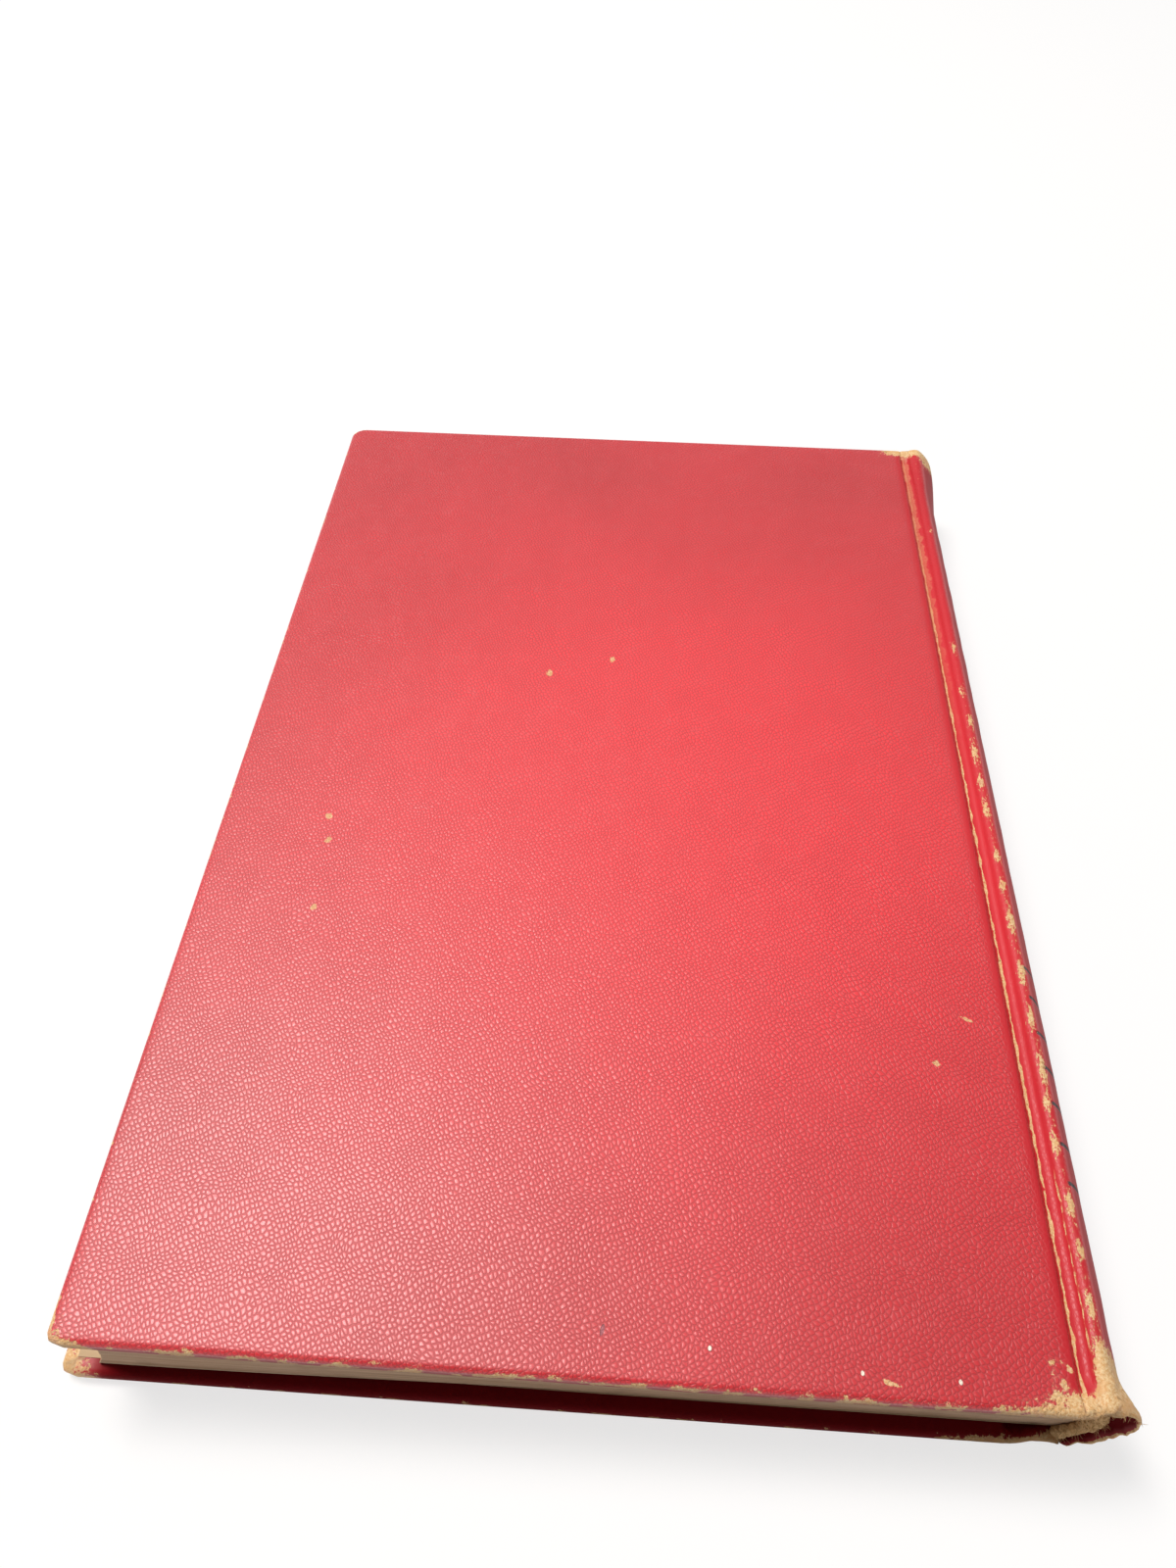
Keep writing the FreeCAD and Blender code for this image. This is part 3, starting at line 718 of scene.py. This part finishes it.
# %% Knocks, specks and bars
# Small knocks, each by its place on the flat skin, half width, half length and turn in degrees.
KNOCKS = ((-128.2, -18.4, 0.7, 0.9, 0), (-127.1, -24.2, 0.6, 0.9, 0), (-126.6, -39.9, 0.6, 0.8, 0),
          (-87.3, 25.1, 0.7, 1.0, 20), (-73.5, 30.4, 0.6, 0.9, 0), (-6.9, -55.8, 0.35, 1.1, 65),
          (-13.2, -64.6, 0.45, 0.7, 40), (-26.3, -115.0, 0.35, 1.3, 75),
          (-0.3, -111.4, 0.35, 0.8, 20), (-1.4, -113.6, 0.5, 0.8, 10))
KNOCK_SHARE = 0.85
SPECKS = ((-16.2, -114.2), (-30.2, -113.9), (-52.2, -112.0))
SPECK_HALF = (0.30, 0.40)
DENT = (-68.0, -110.5, 0.30, 0.9, -12)
BAR_PLACES = (33.5, 40, 47, 53.5, 60, 67, 73)
BAR_HALF = 0.35


def spot(x, y, wide, long, degrees, fray=3.0):
    # One inside a small oval with a frayed edge.
    turn = (0, 0, math.radians(degrees))
    where = node(tree, "Mapping", {"Vector": place, "Location": (x, y, 0), "Rotation": turn,
                                   "Scale": (wide, long, 1.0)}, **IN_BOX)
    away = node(tree, "VectorMath", (where,), operation="LENGTH").outputs["Value"]
    away = node(tree, "Math", (frayed, fray, away), operation="MULTIPLY_ADD")
    return node(tree, "MapRange", (away, 0.75, 1.05, 1.0, 0.0), **SMOOTH)


def bar_at(tall):
    off = node(tree, "Math", (from_tail, tall), operation="SUBTRACT")
    off = node(tree, "Math", (off,), operation="ABSOLUTE")
    return node(tree, "MapRange", (off, BAR_HALF * 0.7, BAR_HALF * 1.2, 1.0, 0.0), **SMOOTH)


marks = []
for parts in ([spot(*row) for row in KNOCKS],
              [spot(x, y, *SPECK_HALF, 0, 0.6) for x, y in SPECKS],
              [bar_at(tall) for tall in BAR_PLACES]):
    strongest = 0.0
    for part in parts:
        strongest = node(tree, "Math", (strongest, part), operation="MAXIMUM")
    marks.append(strongest)
knocked, specks, bars = marks
# The dent is pressed in by the relief, and its darker colour is painted shade in its hollow.
dent = spot(*DENT, 0.4)
knocked = node(tree, "Math", (knocked, KNOCK_SHARE), operation="MULTIPLY")
bare_all = bare
for mark in (cracks, knocked):
    bare_all = node(tree, "Math", (bare_all, mark), operation="MAXIMUM")
for low, high in ((RIDGE_ALONG + 0.3, RIDGE_ALONG + 0.8), (WHOLE_ALONG - 1.6, WHOLE_ALONG - 2.4)):
    on_round = node(tree, "MapRange", (across, low, high), **SMOOTH)
    bars = node(tree, "Math", (bars, on_round), operation="MULTIPLY")
print("knocks", len(KNOCKS), "specks", len(SPECKS), "bars", len(BAR_PLACES))

# %% [markdown]
# Colours of the leather
#
# Dye lies uneven, and shade and light are painted into it: painted shade in the valleys of the
# grain, in a strip where the board's edge rolls into the groove, on the side of the spine, on the
# rolled edges and turn-ins and in a dent, and a painted pool of light in the middle of the cover.
# Bare skin is tan with paler tufts and darker crevices.

# %% Colours of the leather
COLOUR = {"data_type": "RGBA"}
# Centre of a pool of light painted into the colour, brightest in the middle of the cover.
LIGHT_POOL_AT = (-60.0, -8.0, 0.0)


def dye(tree, colour, layers):
    # Lays colours over one another. Each has a mask and the share that the mask lets through.
    for mask, share, code in layers:
        share = node(tree, "Math", (mask, share), operation="MULTIPLY")
        colour = node(tree, "Mix", {0: share, 6: colour, 7: linear(code)}, **COLOUR)
    return colour


from_light_pool = node(tree, "VectorMath", (place, LIGHT_POOL_AT), operation="DISTANCE").outputs["Value"]
uneven, painted_light_pool, flushed, on_spine, tufted, paled, creviced, pinked, from_joint, to_joint = [
    node(tree, "MapRange", row, **SMOOTH) for row in (
        (clouds["dye"], 0.35, 0.65), (from_light_pool, 125.0, 15.0), (clouds["flush"], 0.50, 0.72),
        (across, RIDGE_ALONG - 0.5, RIDGE_ALONG + 3.0), (clouds["tuft"], 0.3, 0.7),
        (clouds["pale"], 0.4, 0.7), (clouds["crevice"], 0.4, 0.3), (clouds["pink"], 0.56, 0.66),
        (across, -2.4, 0.2), (across, 3.0, 2.0))]
# Painted shade in the valleys of the grain.
valley_shade = node(tree, "Math", (valleys, grain_share), operation="MULTIPLY")
# Painted shade on the strip where the board's edge rolls down into the groove.
edge_strip_shade = node(tree, "Math", (from_joint, to_joint), operation="MULTIPLY")
red = dye(tree, linear("#C81822"), (
    (uneven, 1.0, "#D41F2A"), (painted_light_pool, 0.9, "#FC343E"), (flushed, 0.14, "#E2505A"),
    (valley_shade, 0.55, "#A3141D"), (ironed, 0.5, "#BC2832"), (edge_strip_shade, 0.45, "#B81C24"),
    # On this line on_spine paints shade on the side of the spine, and shaded paints shade on the
    # rolled edges, the turn-ins and the hollow of the torn end.
    (on_spine, 0.75, "#9E1A22"), (stained, 0.45, "#CC5A50"), (shaded, 0.85, "#48060A"),
    (bars, 1.0, "#231211"), (dent, 0.6, "#8E5A66")))
tan = dye(tree, linear("#DEA25E"), (
    (tufted, 1.0, "#FFE4B2"), (paled, 0.6, "#EDB678"), (creviced, 0.55, "#8A6238"),
    # shaded paints shade on the bare skin too.
    (pinked, 0.35, "#DE8E78"), (shaded, 0.6, "#6E4A30")))
skin = node(tree, "Mix", {0: bare_all, 6: red, 7: tan}, **COLOUR)
skin = dye(tree, skin, ((specks, 1.0, "#FFF1DC"),))

# %% [markdown]
# Relief and gloss of the leather
#
# Heights are in millimetres. Dressing shines in a thin layer over the polished skin, and rubbed
# parts have lost it. Where shade is painted, the dressing and the tint of the reflections are taken
# away too, which paints the shade into the reflections as well.

# %% Relief and gloss of the leather
GRAIN_HIGH, WRINKLE_HIGH, PORE_HIGH, SCUFF_HIGH = 0.068, 0.08, 0.01, 0.28
DRESSED = 0.9

height = 0.0
for first, second, high in (
        (pebbles, grain_deep, GRAIN_HIGH), (clouds["pore"], 1.0, PORE_HIGH),
        (wrinkles, ironed, WRINKLE_HIGH), (bare_all, clouds["scuff"], SCUFF_HIGH),
        (bare_all, 1.0, -0.16), (bars, 1.0, -0.12), (dent, 1.0, -0.25), (specks, 1.0, 0.1)):
    share = node(tree, "Math", (first, second), operation="MULTIPLY")
    height = node(tree, "Math", (share, high, height), operation="MULTIPLY_ADD")
bump = node(tree, "Bump", {"Height": height, "Distance": MM, "Strength": 1.0})
gloss, round_rough, round_dull = [node(tree, "MapRange", row, **SMOOTH) for row in (
    (pebbles, -0.6, 0.2, 0.58, 0.34), (across, RIDGE_ALONG, RIDGE_ALONG + 2, 0.0, 0.75),
    (across, RIDGE_ALONG - 0.5, RIDGE_ALONG + 2.5, 0.0, 0.75))]
# Both keep the highest of what they start with and of each mask times its share.
rough_masks = ((round_rough, 1.0), (shaded, 1.0), (bare_all, 0.9))
dull_masks = ((bare_all, 0.6), (shaded, 1.0), (round_dull, 1.0), (ironed, 0.6))
kept = []
for found, masks in ((gloss, rough_masks), (0.0, dull_masks)):
    for mask, share in masks:
        share = node(tree, "Math", (mask, share), operation="MULTIPLY")
        found = node(tree, "Math", (found, share), operation="MAXIMUM")
    kept.append(found)
gloss, dull = kept
dressed = node(tree, "Math", (dull, -DRESSED, DRESSED), operation="MULTIPLY_ADD")
# Reflections lose their tint where the skin is dull; on the shaded parts this is painted shade.
faint = dye(tree, linear("#FFFFFF"), ((dull, 0.9, "#000000"),))
surface = node(tree, "BsdfPrincipled",
               {"Base Color": skin, "Roughness": gloss, "Normal": bump, "IOR": 1.5,
                "Specular Tint": faint, "Coat Weight": dressed, "Coat Roughness": 0.5})
node(tree, "OutputMaterial", (surface,))
for piece in (back_leather, front_leather):
    piece.data.materials.append(leather)
print("leather nodes", len(tree.nodes))

# %% [markdown]
# Torn end of the spine
#
# Where the tail of the spine tore, the turned-in leather broke away from the outer leather. A
# frayed roll of it is still stuck to the back of the pages, and single hairs of leather stand out
# from every torn edge. The roll follows the round of the back, and each hair is a thin strand that
# curls down.

# %% Torn roll and hairs
ROLL_RADIUS, ROLL_FROM, ROLL_TO = 14.3, math.radians(-46), math.radians(44)
ROLL_AT = TAIL + 1.9
ROLL_STEPS_LONG, ROLL_SIDES = 64, 14
LUMP_FROM = 17.0
HAIR_STEPS, HAIR_COUNT = 4, 150
BARE_WORN = 0.7


def add_hair(body, root, way, long, thick):
    side = way.cross(Vector((0.31, 0.52, 0.80))).normalized()
    other = way.cross(side).normalized()
    curl = side * random.uniform(-0.5, 0.5) * long + Vector((0, 0, -0.35 * long))
    rings = []
    for step in range(HAIR_STEPS + 1):
        share = step / HAIR_STEPS
        at = root + way * long * share + curl * share * share
        size = thick * (1 - 0.7 * share)
        rings.append([body.verts.new((at + (side * math.cos(a) + other * math.sin(a)) * size) * MM)
                      for a in (0.0, math.tau / 3, 2 * math.tau / 3)])
    join_rings(body, rings, True)
    body.faces.new(rings[0][::-1])
    body.faces.new(rings[-1])


def add_hairs(body, roots, spread, shortest, longest, thick):
    for _ in range(HAIR_COUNT):
        at, way = random.choice(roots)
        lean = Vector([random.uniform(-spread, spread) for _ in range(3)])
        long = random.uniform(shortest, longest)
        add_hair(body, at - way * 0.1, (way + lean).normalized(), long, thick)
    bmesh.ops.recalc_face_normals(body, faces=body.faces)


def build_torn_roll():
    body = bmesh.new()
    rings, roots = [], []
    for step in range(ROLL_STEPS_LONG + 1):
        share = step / ROLL_STEPS_LONG
        turn = ROLL_FROM + (ROLL_TO - ROLL_FROM) * share
        out = Vector((math.cos(turn), 0, math.sin(turn)))
        middle = Vector((SPINE_MID, ROLL_AT, MIDDLE)) + out * ROLL_RADIUS
        full = smooth(-0.02, 0.05, share) * (1 - 0.5 * smooth(0.45, 1.0, share))
        ring = []
        for side in range(ROLL_SIDES):
            angle = math.tau * side / ROLL_SIDES
            way = out * math.cos(angle) * 1.15 + Vector((0, -1, 0)) * math.sin(angle) * 0.85
            rough = 1 + 0.55 * wave(step * 0.33, angle * 1.2, 1.0, 31)
            rough += 0.35 * wave(step * 0.33, angle * 1.2, 0.4, 32)
            at = middle + way * full * rough
            ring.append(body.verts.new(at * MM))
            if way.y < 0.1:
                roots.append((at, way.normalized()))
        rings.append(ring)
    join_rings(body, rings, True)
    body.faces.new(rings[0])
    body.faces.new(rings[-1])
    add_hairs(body, roots, 0.9, 0.5, 1.5, 0.05)
    return add_piece("torn_turned_in_leather", body)


def build_hairs():
    # Hairs grow from the points of the leather that are rubbed bare at the tail of the spine.
    data = back_leather.data
    places = [(v.co / MM, v.normal.copy(), data.attributes["worn"].data[v.index].value,
               data.attributes["flat"].data[v.index].vector[0] / MM) for v in data.vertices]
    roots = [(at, way) for at, way, worn_here, along in places
             if worn_here > BARE_WORN and at.y < TAIL + 1.6 and along > -12 and at.z > LUMP_FROM]
    body = bmesh.new()
    add_hairs(body, roots, 0.8, 0.4, 1.1, 0.045)
    return add_piece("torn_leather_hairs", body)


torn_roll, hairs = build_torn_roll(), build_hairs()
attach(torn_roll, "text_block")
STRAND_BOX, STRAND_TURN = (0.25, 0.9, 0.6), math.radians(35)


def matt(tree, colour, height, strength, rough):
    # A dull surface with a little relief.
    bump = node(tree, "Bump", {"Height": height, "Distance": MM, "Strength": strength})
    surface = node(tree, "BsdfPrincipled",
                   {"Base Color": colour, "Roughness": rough, "Normal": bump, "IOR": 1.45})
    node(tree, "OutputMaterial", (surface,))


flesh, tree = new_material("torn_goatskin_flesh_side")
place = millimetres(tree, "TexCoord", "Object")
box = node(tree, "Mapping", {"Vector": place, "Scale": STRAND_BOX,
                             "Rotation": (0, 0, STRAND_TURN)}, **IN_BOX)
strands = node(tree, "TexNoise", {"Vector": box, "Scale": 1.0, "Detail": 4.0, "Roughness": 0.7})
stain = clouds_over(tree, place, {"stain": (2.0, 3.0, 0.5)})["stain"]
streaked, stained = [node(tree, "MapRange", row, **SMOOTH) for row in (
    (strands, 0.3, 0.7), (stain, 0.45, 0.7))]
shade = dye(tree, linear("#A57A48"), ((streaked, 1.0, "#F2CD98"), (stained, 0.7, "#B98B56")))
height = node(tree, "Math", (strands, 0.3), operation="MULTIPLY")
matt(tree, shade, height, 1.0, 0.95)
for piece in (torn_roll, hairs):
    piece.data.materials.append(flesh)

# %% [markdown]
# Page block
#
# The leaves are sewn, rounded and backed, so the back is convex, the fore edge is hollow and the
# folds next to the joints swell out into shoulders. The block is drawn as a stack of leaves whose
# edges are a fine line pattern, with small steps between sections in the mesh itself.

# %% Page block
LEAVES_LOW, LEAVES_HIGH = 3.55, 19.85
PAGE_TALL = pages_high.y
ASKEW = 0.9
SPREAD_FROM, SPREAD_TO = 5.6, 3.4
BACK_ROUND = 15.285
FORE_ROUND = 16.196
LEAF_STEPS = 60
LENGTH_STEPS = 44
TALL_STEPS = 90
page_mid = (LEAVES_LOW + LEAVES_HIGH) / 2
half_flat = (LEAVES_HIGH - LEAVES_LOW) / 2
half_back = (pages_high.z - pages_low.z) / 2


def leaf_point(leaf, along):
    # Section of the block: leaf goes up the stack and along goes from fore edge to back.
    height = 2 * leaf - 1
    z_fore = half_flat * height
    x_fore = pages_low.x + math.sqrt(FORE_ROUND ** 2 - z_fore ** 2)
    x_fore -= math.sqrt(FORE_ROUND ** 2 - half_flat ** 2)
    z_back = half_back * height
    x_back = pages_high.x - BACK_ROUND + math.sqrt(BACK_ROUND ** 2 - z_back ** 2)
    x = x_fore + (x_back - x_fore) * along
    spread = smooth(pages_high.x - SPREAD_FROM, pages_high.x - SPREAD_TO, x)
    return x, page_mid + z_fore + (z_back - z_fore) * spread


def build_pages():
    block = bmesh.new()
    leaf_layer = block.verts.layers.float_vector.new("flat")
    point_at = {}
    steps = [random.gauss(0, 0.10) for _ in range(LEAF_STEPS + 1)]
    tails = [0.09 * wave(i, 0, 5, 11) + random.gauss(0, 0.02) for i in range(LEAF_STEPS + 1)]

    def point(i, j, k):
        key = (i, j, k)
        if key not in point_at:
            leaf, along = i / LEAF_STEPS, j / LENGTH_STEPS
            x, z = leaf_point(leaf, along)
            y = -PAGE_TALL + 2 * PAGE_TALL * k / TALL_STEPS
            y -= ASKEW * (1 - smooth(0, 0.55, along)) * (1 - 0.5 * leaf)
            if k in (0, TALL_STEPS):
                y += tails[i] * (1 if k == 0 else -1) + (0.12 if k == 0 else -0.12)
            if j == 0:
                x += 0.5 * abs(steps[i])
            vert = block.verts.new(Vector((x, y, z)) * MM)
            vert[leaf_layer] = Vector((x, y, leaf * (LEAVES_HIGH - LEAVES_LOW))) * MM
            point_at[key] = vert
        return point_at[key]

    def sheet(first, second, where, flip):
        for a in range(first):
            for b in range(second):
                ring = [where(a, b), where(a + 1, b), where(a + 1, b + 1), where(a, b + 1)]
                corners = [point(*key) for key in (ring[::-1] if flip else ring)]
                block.faces.new(corners)

    for k, flip in ((0, True), (TALL_STEPS, False)):
        sheet(LEAF_STEPS, LENGTH_STEPS, lambda a, b, k=k: (a, b, k), flip)
    for j, flip in ((0, False), (LENGTH_STEPS, True)):
        sheet(LEAF_STEPS, TALL_STEPS, lambda a, b, j=j: (a, j, b), flip)
    for i, flip in ((0, True), (LEAF_STEPS, False)):
        sheet(LENGTH_STEPS, TALL_STEPS, lambda a, b, i=i: (i, a, b), flip)
    bmesh.ops.recalc_face_normals(block, faces=block.faces)
    return add_piece("page_block", block, soft=False)


pages = build_pages()
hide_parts("text_block")
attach(pages, "text_block")

# %% [markdown]
# Cut edges of book paper
#
# A leaf is about 0.1 mm thick, too fine to show, so the lines are drawn 0.25 mm apart. Old book
# paper is cream, and it browns where dust and air reach the edge. The colours here are darker and
# redder than cream: painted shade on the edges and painted red light thrown on them by the leather.

# %% Page finish
LEAF_LINE, BAND_LINE = 0.25, 1.6
paper_edge, tree = new_material("book_paper_cut_edges")
place = millimetres(tree, "Attribute", "Vector", attribute_name="flat")
found = []
for wide, tall, detail, rough in ((40, LEAF_LINE, 2.0, 0.6), (60, BAND_LINE, 1.0, 0.5)):
    flat = node(tree, "Mapping", {"Vector": place, "Scale": (1 / wide, 1 / wide, 1 / tall)})
    found.append(node(tree, "TexNoise", {"Vector": flat, "Scale": 1.0, "Detail": detail,
                                         "Roughness": rough}))
lines, bands = found
browning = clouds_over(tree, place, {"browning": (9.0, 4.0, 0.5)})["browning"]
lined, banded, browned = [node(tree, "MapRange", row, **SMOOTH) for row in (
    (lines, 0.35, 0.65), (bands, 0.4, 0.7), (browning, 0.5, 0.8))]
# Darker and redder than cream paper: painted shade and painted red light from the leather, with real
# browning in patches.
paper = dye(tree, linear("#9C7C61"), (
    (lined, 1.0, "#C4A68A"), (banded, 0.5, "#AA8B6E"), (browned, 0.5, "#84664C")))
height = node(tree, "Math", (lines, 0.08), operation="MULTIPLY")
matt(tree, paper, height, 0.8, 0.85)
pages.data.materials.append(paper_edge)

# %% [markdown]
# Endpapers
#
# At each end of the book one folded sheet joins the pages to the cover: half of it is pasted to the
# inside of the board, and the other half is the loose flyleaf. It bends round the joint when the
# cover opens, so the fold has a few rows of points of its own.

# %% Endpapers
FLYLEAF_HIGH = 20.0
PAPER_THICK = 0.12
FOLD_STEPS = 6


def sheet_path(paste_low, paste_x, fly_x, paste_fore, fly_fore):
    # Middle line of the folded sheet: flyleaf, fold, pasted half, from fore edge to fore edge.
    fly_z = FLYLEAF_HIGH - PAPER_THICK / 2
    paste_z = paste_low + PAPER_THICK / 2
    path = [Vector((x, fly_z)) for x in np.linspace(fly_fore, fly_x, 26)]
    for step in range(1, FOLD_STEPS):
        angle = -QUARTER + math.pi * step / FOLD_STEPS
        rise = (fly_z + paste_z) / 2 + math.sin(angle) * (paste_z - fly_z) / 2
        path.append(Vector((fly_x + (paste_x - fly_x) * step / FOLD_STEPS
                            + 0.2 * math.cos(angle), rise)))
    path += [Vector((x, paste_z)) for x in np.linspace(paste_x, paste_fore, 40)]
    return path


def build_endpaper(name, box, fly_box, flipped):
    low, high = box
    fly_low, fly_high = fly_box
    paste_low = TOP - high.z if flipped else low.z
    path = sheet_path(paste_low, high.x - 0.1, fly_high.x - 0.1, low.x, fly_low.x)
    outer, inner = [], []
    for i, spot in enumerate(path):
        along = (path[min(i + 1, len(path) - 1)] - path[max(i - 1, 0)]).normalized()
        side = Vector((-along.y, along.x)) * PAPER_THICK / 2
        outer.append(spot + side)
        inner.append(spot - side)
    ring = outer + inner[::-1]
    rows = np.linspace(low.y, high.y, 41)
    paper_mesh = bmesh.new()
    flat_layer = paper_mesh.verts.layers.float_vector.new("flat")
    lines_of = []
    for y in rows:
        line = []
        for i, spot in enumerate(ring):
            z = TOP - spot.y if flipped else spot.y
            vert = paper_mesh.verts.new(Vector((spot.x, y, z)) * MM)
            step = i if i < len(outer) else len(ring) - 1 - i
            vert[flat_layer] = Vector((step * 4.0, y, 0)) * MM
            line.append(vert)
        lines_of.append(line)
    count = len(ring)
    join_rings(paper_mesh, lines_of, True)
    for line in (lines_of[0], lines_of[-1]):
        for i in range(len(outer) - 1):
            paper_mesh.faces.new((line[i], line[i + 1], line[count - 2 - i], line[count - 1 - i]))
    bmesh.ops.recalc_face_normals(paper_mesh, faces=paper_mesh.faces)
    return add_piece(name, paper_mesh, soft=False)


back_endpaper = build_endpaper("back_endpaper", box_mm("back_pastedown"),
                               box_mm("back_flyleaf"), False)
front_endpaper = build_endpaper("front_endpaper", box_mm("front_pastedown"),
                                box_mm("front_flyleaf"), True)
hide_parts("back_pastedown", "back_flyleaf")
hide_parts("front_pastedown", "front_flyleaf")

# %% [markdown]
# Wove paper of the endpapers
#
# Endpapers are heavier than the leaves and plain. Wove paper has a soft, cloudy texture with no
# lines, and old sheets carry faint brown spots and a tanned border where they lie on leather.

# %% Endpaper finish
TAN_FROM, TAN_TO = 111.0, 114.6
wove, tree = new_material("cream_wove_paper")
place = millimetres(tree, "Attribute", "Vector", attribute_name="flat")
clouds = clouds_over(tree, place, {"cloudy": (18.0, 3.0, 0.5), "spot": (3.0, 2.0, 0.5),
                                   "fibre": (0.4, 4.0, 0.7)})
tall = node(tree, "Math", (node(tree, "SeparateXYZ", (place,)).outputs["Y"],), operation="ABSOLUTE")
spotted, tanned = [node(tree, "MapRange", row, **SMOOTH) for row in (
    (clouds["spot"], 0.68, 0.78), (tall, TAN_FROM, TAN_TO))]
shade = dye(tree, linear("#E3D6B8"), (
    (clouds["cloudy"], 1.0, "#D6C6A2"), (spotted, 0.6, "#B08C5A"), (tanned, 0.8, "#B79873")))
fibres = node(tree, "Math", (clouds["fibre"], 0.03), operation="MULTIPLY")
matt(tree, shade, fibres, 0.7, 0.9)
for piece in (back_endpaper, front_endpaper):
    piece.data.materials.append(wove)

# %% [markdown]
# Hidden parts
#
# The boards, the card inlay, the paper lining and the cloth that hold the book together are hidden
# or nearly so. They keep the solids' own shapes and get the finish of the real stuff.

# %% Hidden parts


def plain_stuff(name, light, dark, size, rough, relief, weave=0.0):
    # A matt fibrous stuff, woven where weave gives a thread spacing in millimetres.
    material, tree = new_material(name)
    place = millimetres(tree, "TexCoord", "Object")
    share = clouds_over(tree, place, {"fibre": (size, 4.0, 0.6)})["fibre"]
    if weave:
        crossed = -1.0
        for part in node(tree, "SeparateXYZ", (place,)).outputs[:2]:
            phase = node(tree, "Math", (part, math.tau / weave), operation="MULTIPLY")
            thread = node(tree, "Math", (phase,), operation="SINE")
            crossed = node(tree, "Math", (crossed, thread), operation="MAXIMUM")
        share = node(tree, "MapRange", (crossed, -0.2, 0.9), **SMOOTH)
    height = node(tree, "Math", (share, relief), operation="MULTIPLY")
    matt(tree, dye(tree, linear(dark), ((share, 1.0, light),)), height, 0.8, rough)
    return material


millboard = plain_stuff("rolled_millboard", "#8E7C62", "#6B5A44", 1.2, 0.9, 0.05)
card = plain_stuff("pressed_pulp_card", "#B7A27E", "#94805F", 1.0, 0.9, 0.04)
kraft = plain_stuff("glued_kraft_paper", "#A97F50", "#8A643B", 0.8, 0.85, 0.03)
mull_cloth = plain_stuff("stiffened_cotton_mull", "#D9CDB2", "#9C8F74", 1.0, 0.95, 0.08, 1.1)
FINISH_OF = {"front_board": millboard, "back_board": millboard, "spine_inlay": card,
             "spine_lining": kraft, "mull": mull_cloth, "front_mull_wing": mull_cloth,
             "back_mull_wing": mull_cloth}
for name, material in FINISH_OF.items():
    for place_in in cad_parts[name].material_slots:
        place_in.material = material
print("hidden parts finished", len(FINISH_OF))

# %% [markdown]
# Placing the pieces
#
# The transforms of the leather, the hairs and the endpapers are baked into their points.

# %% Baked transforms
for piece in (back_leather, hairs):
    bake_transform(piece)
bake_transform(front_leather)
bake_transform(back_endpaper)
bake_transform(front_endpaper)
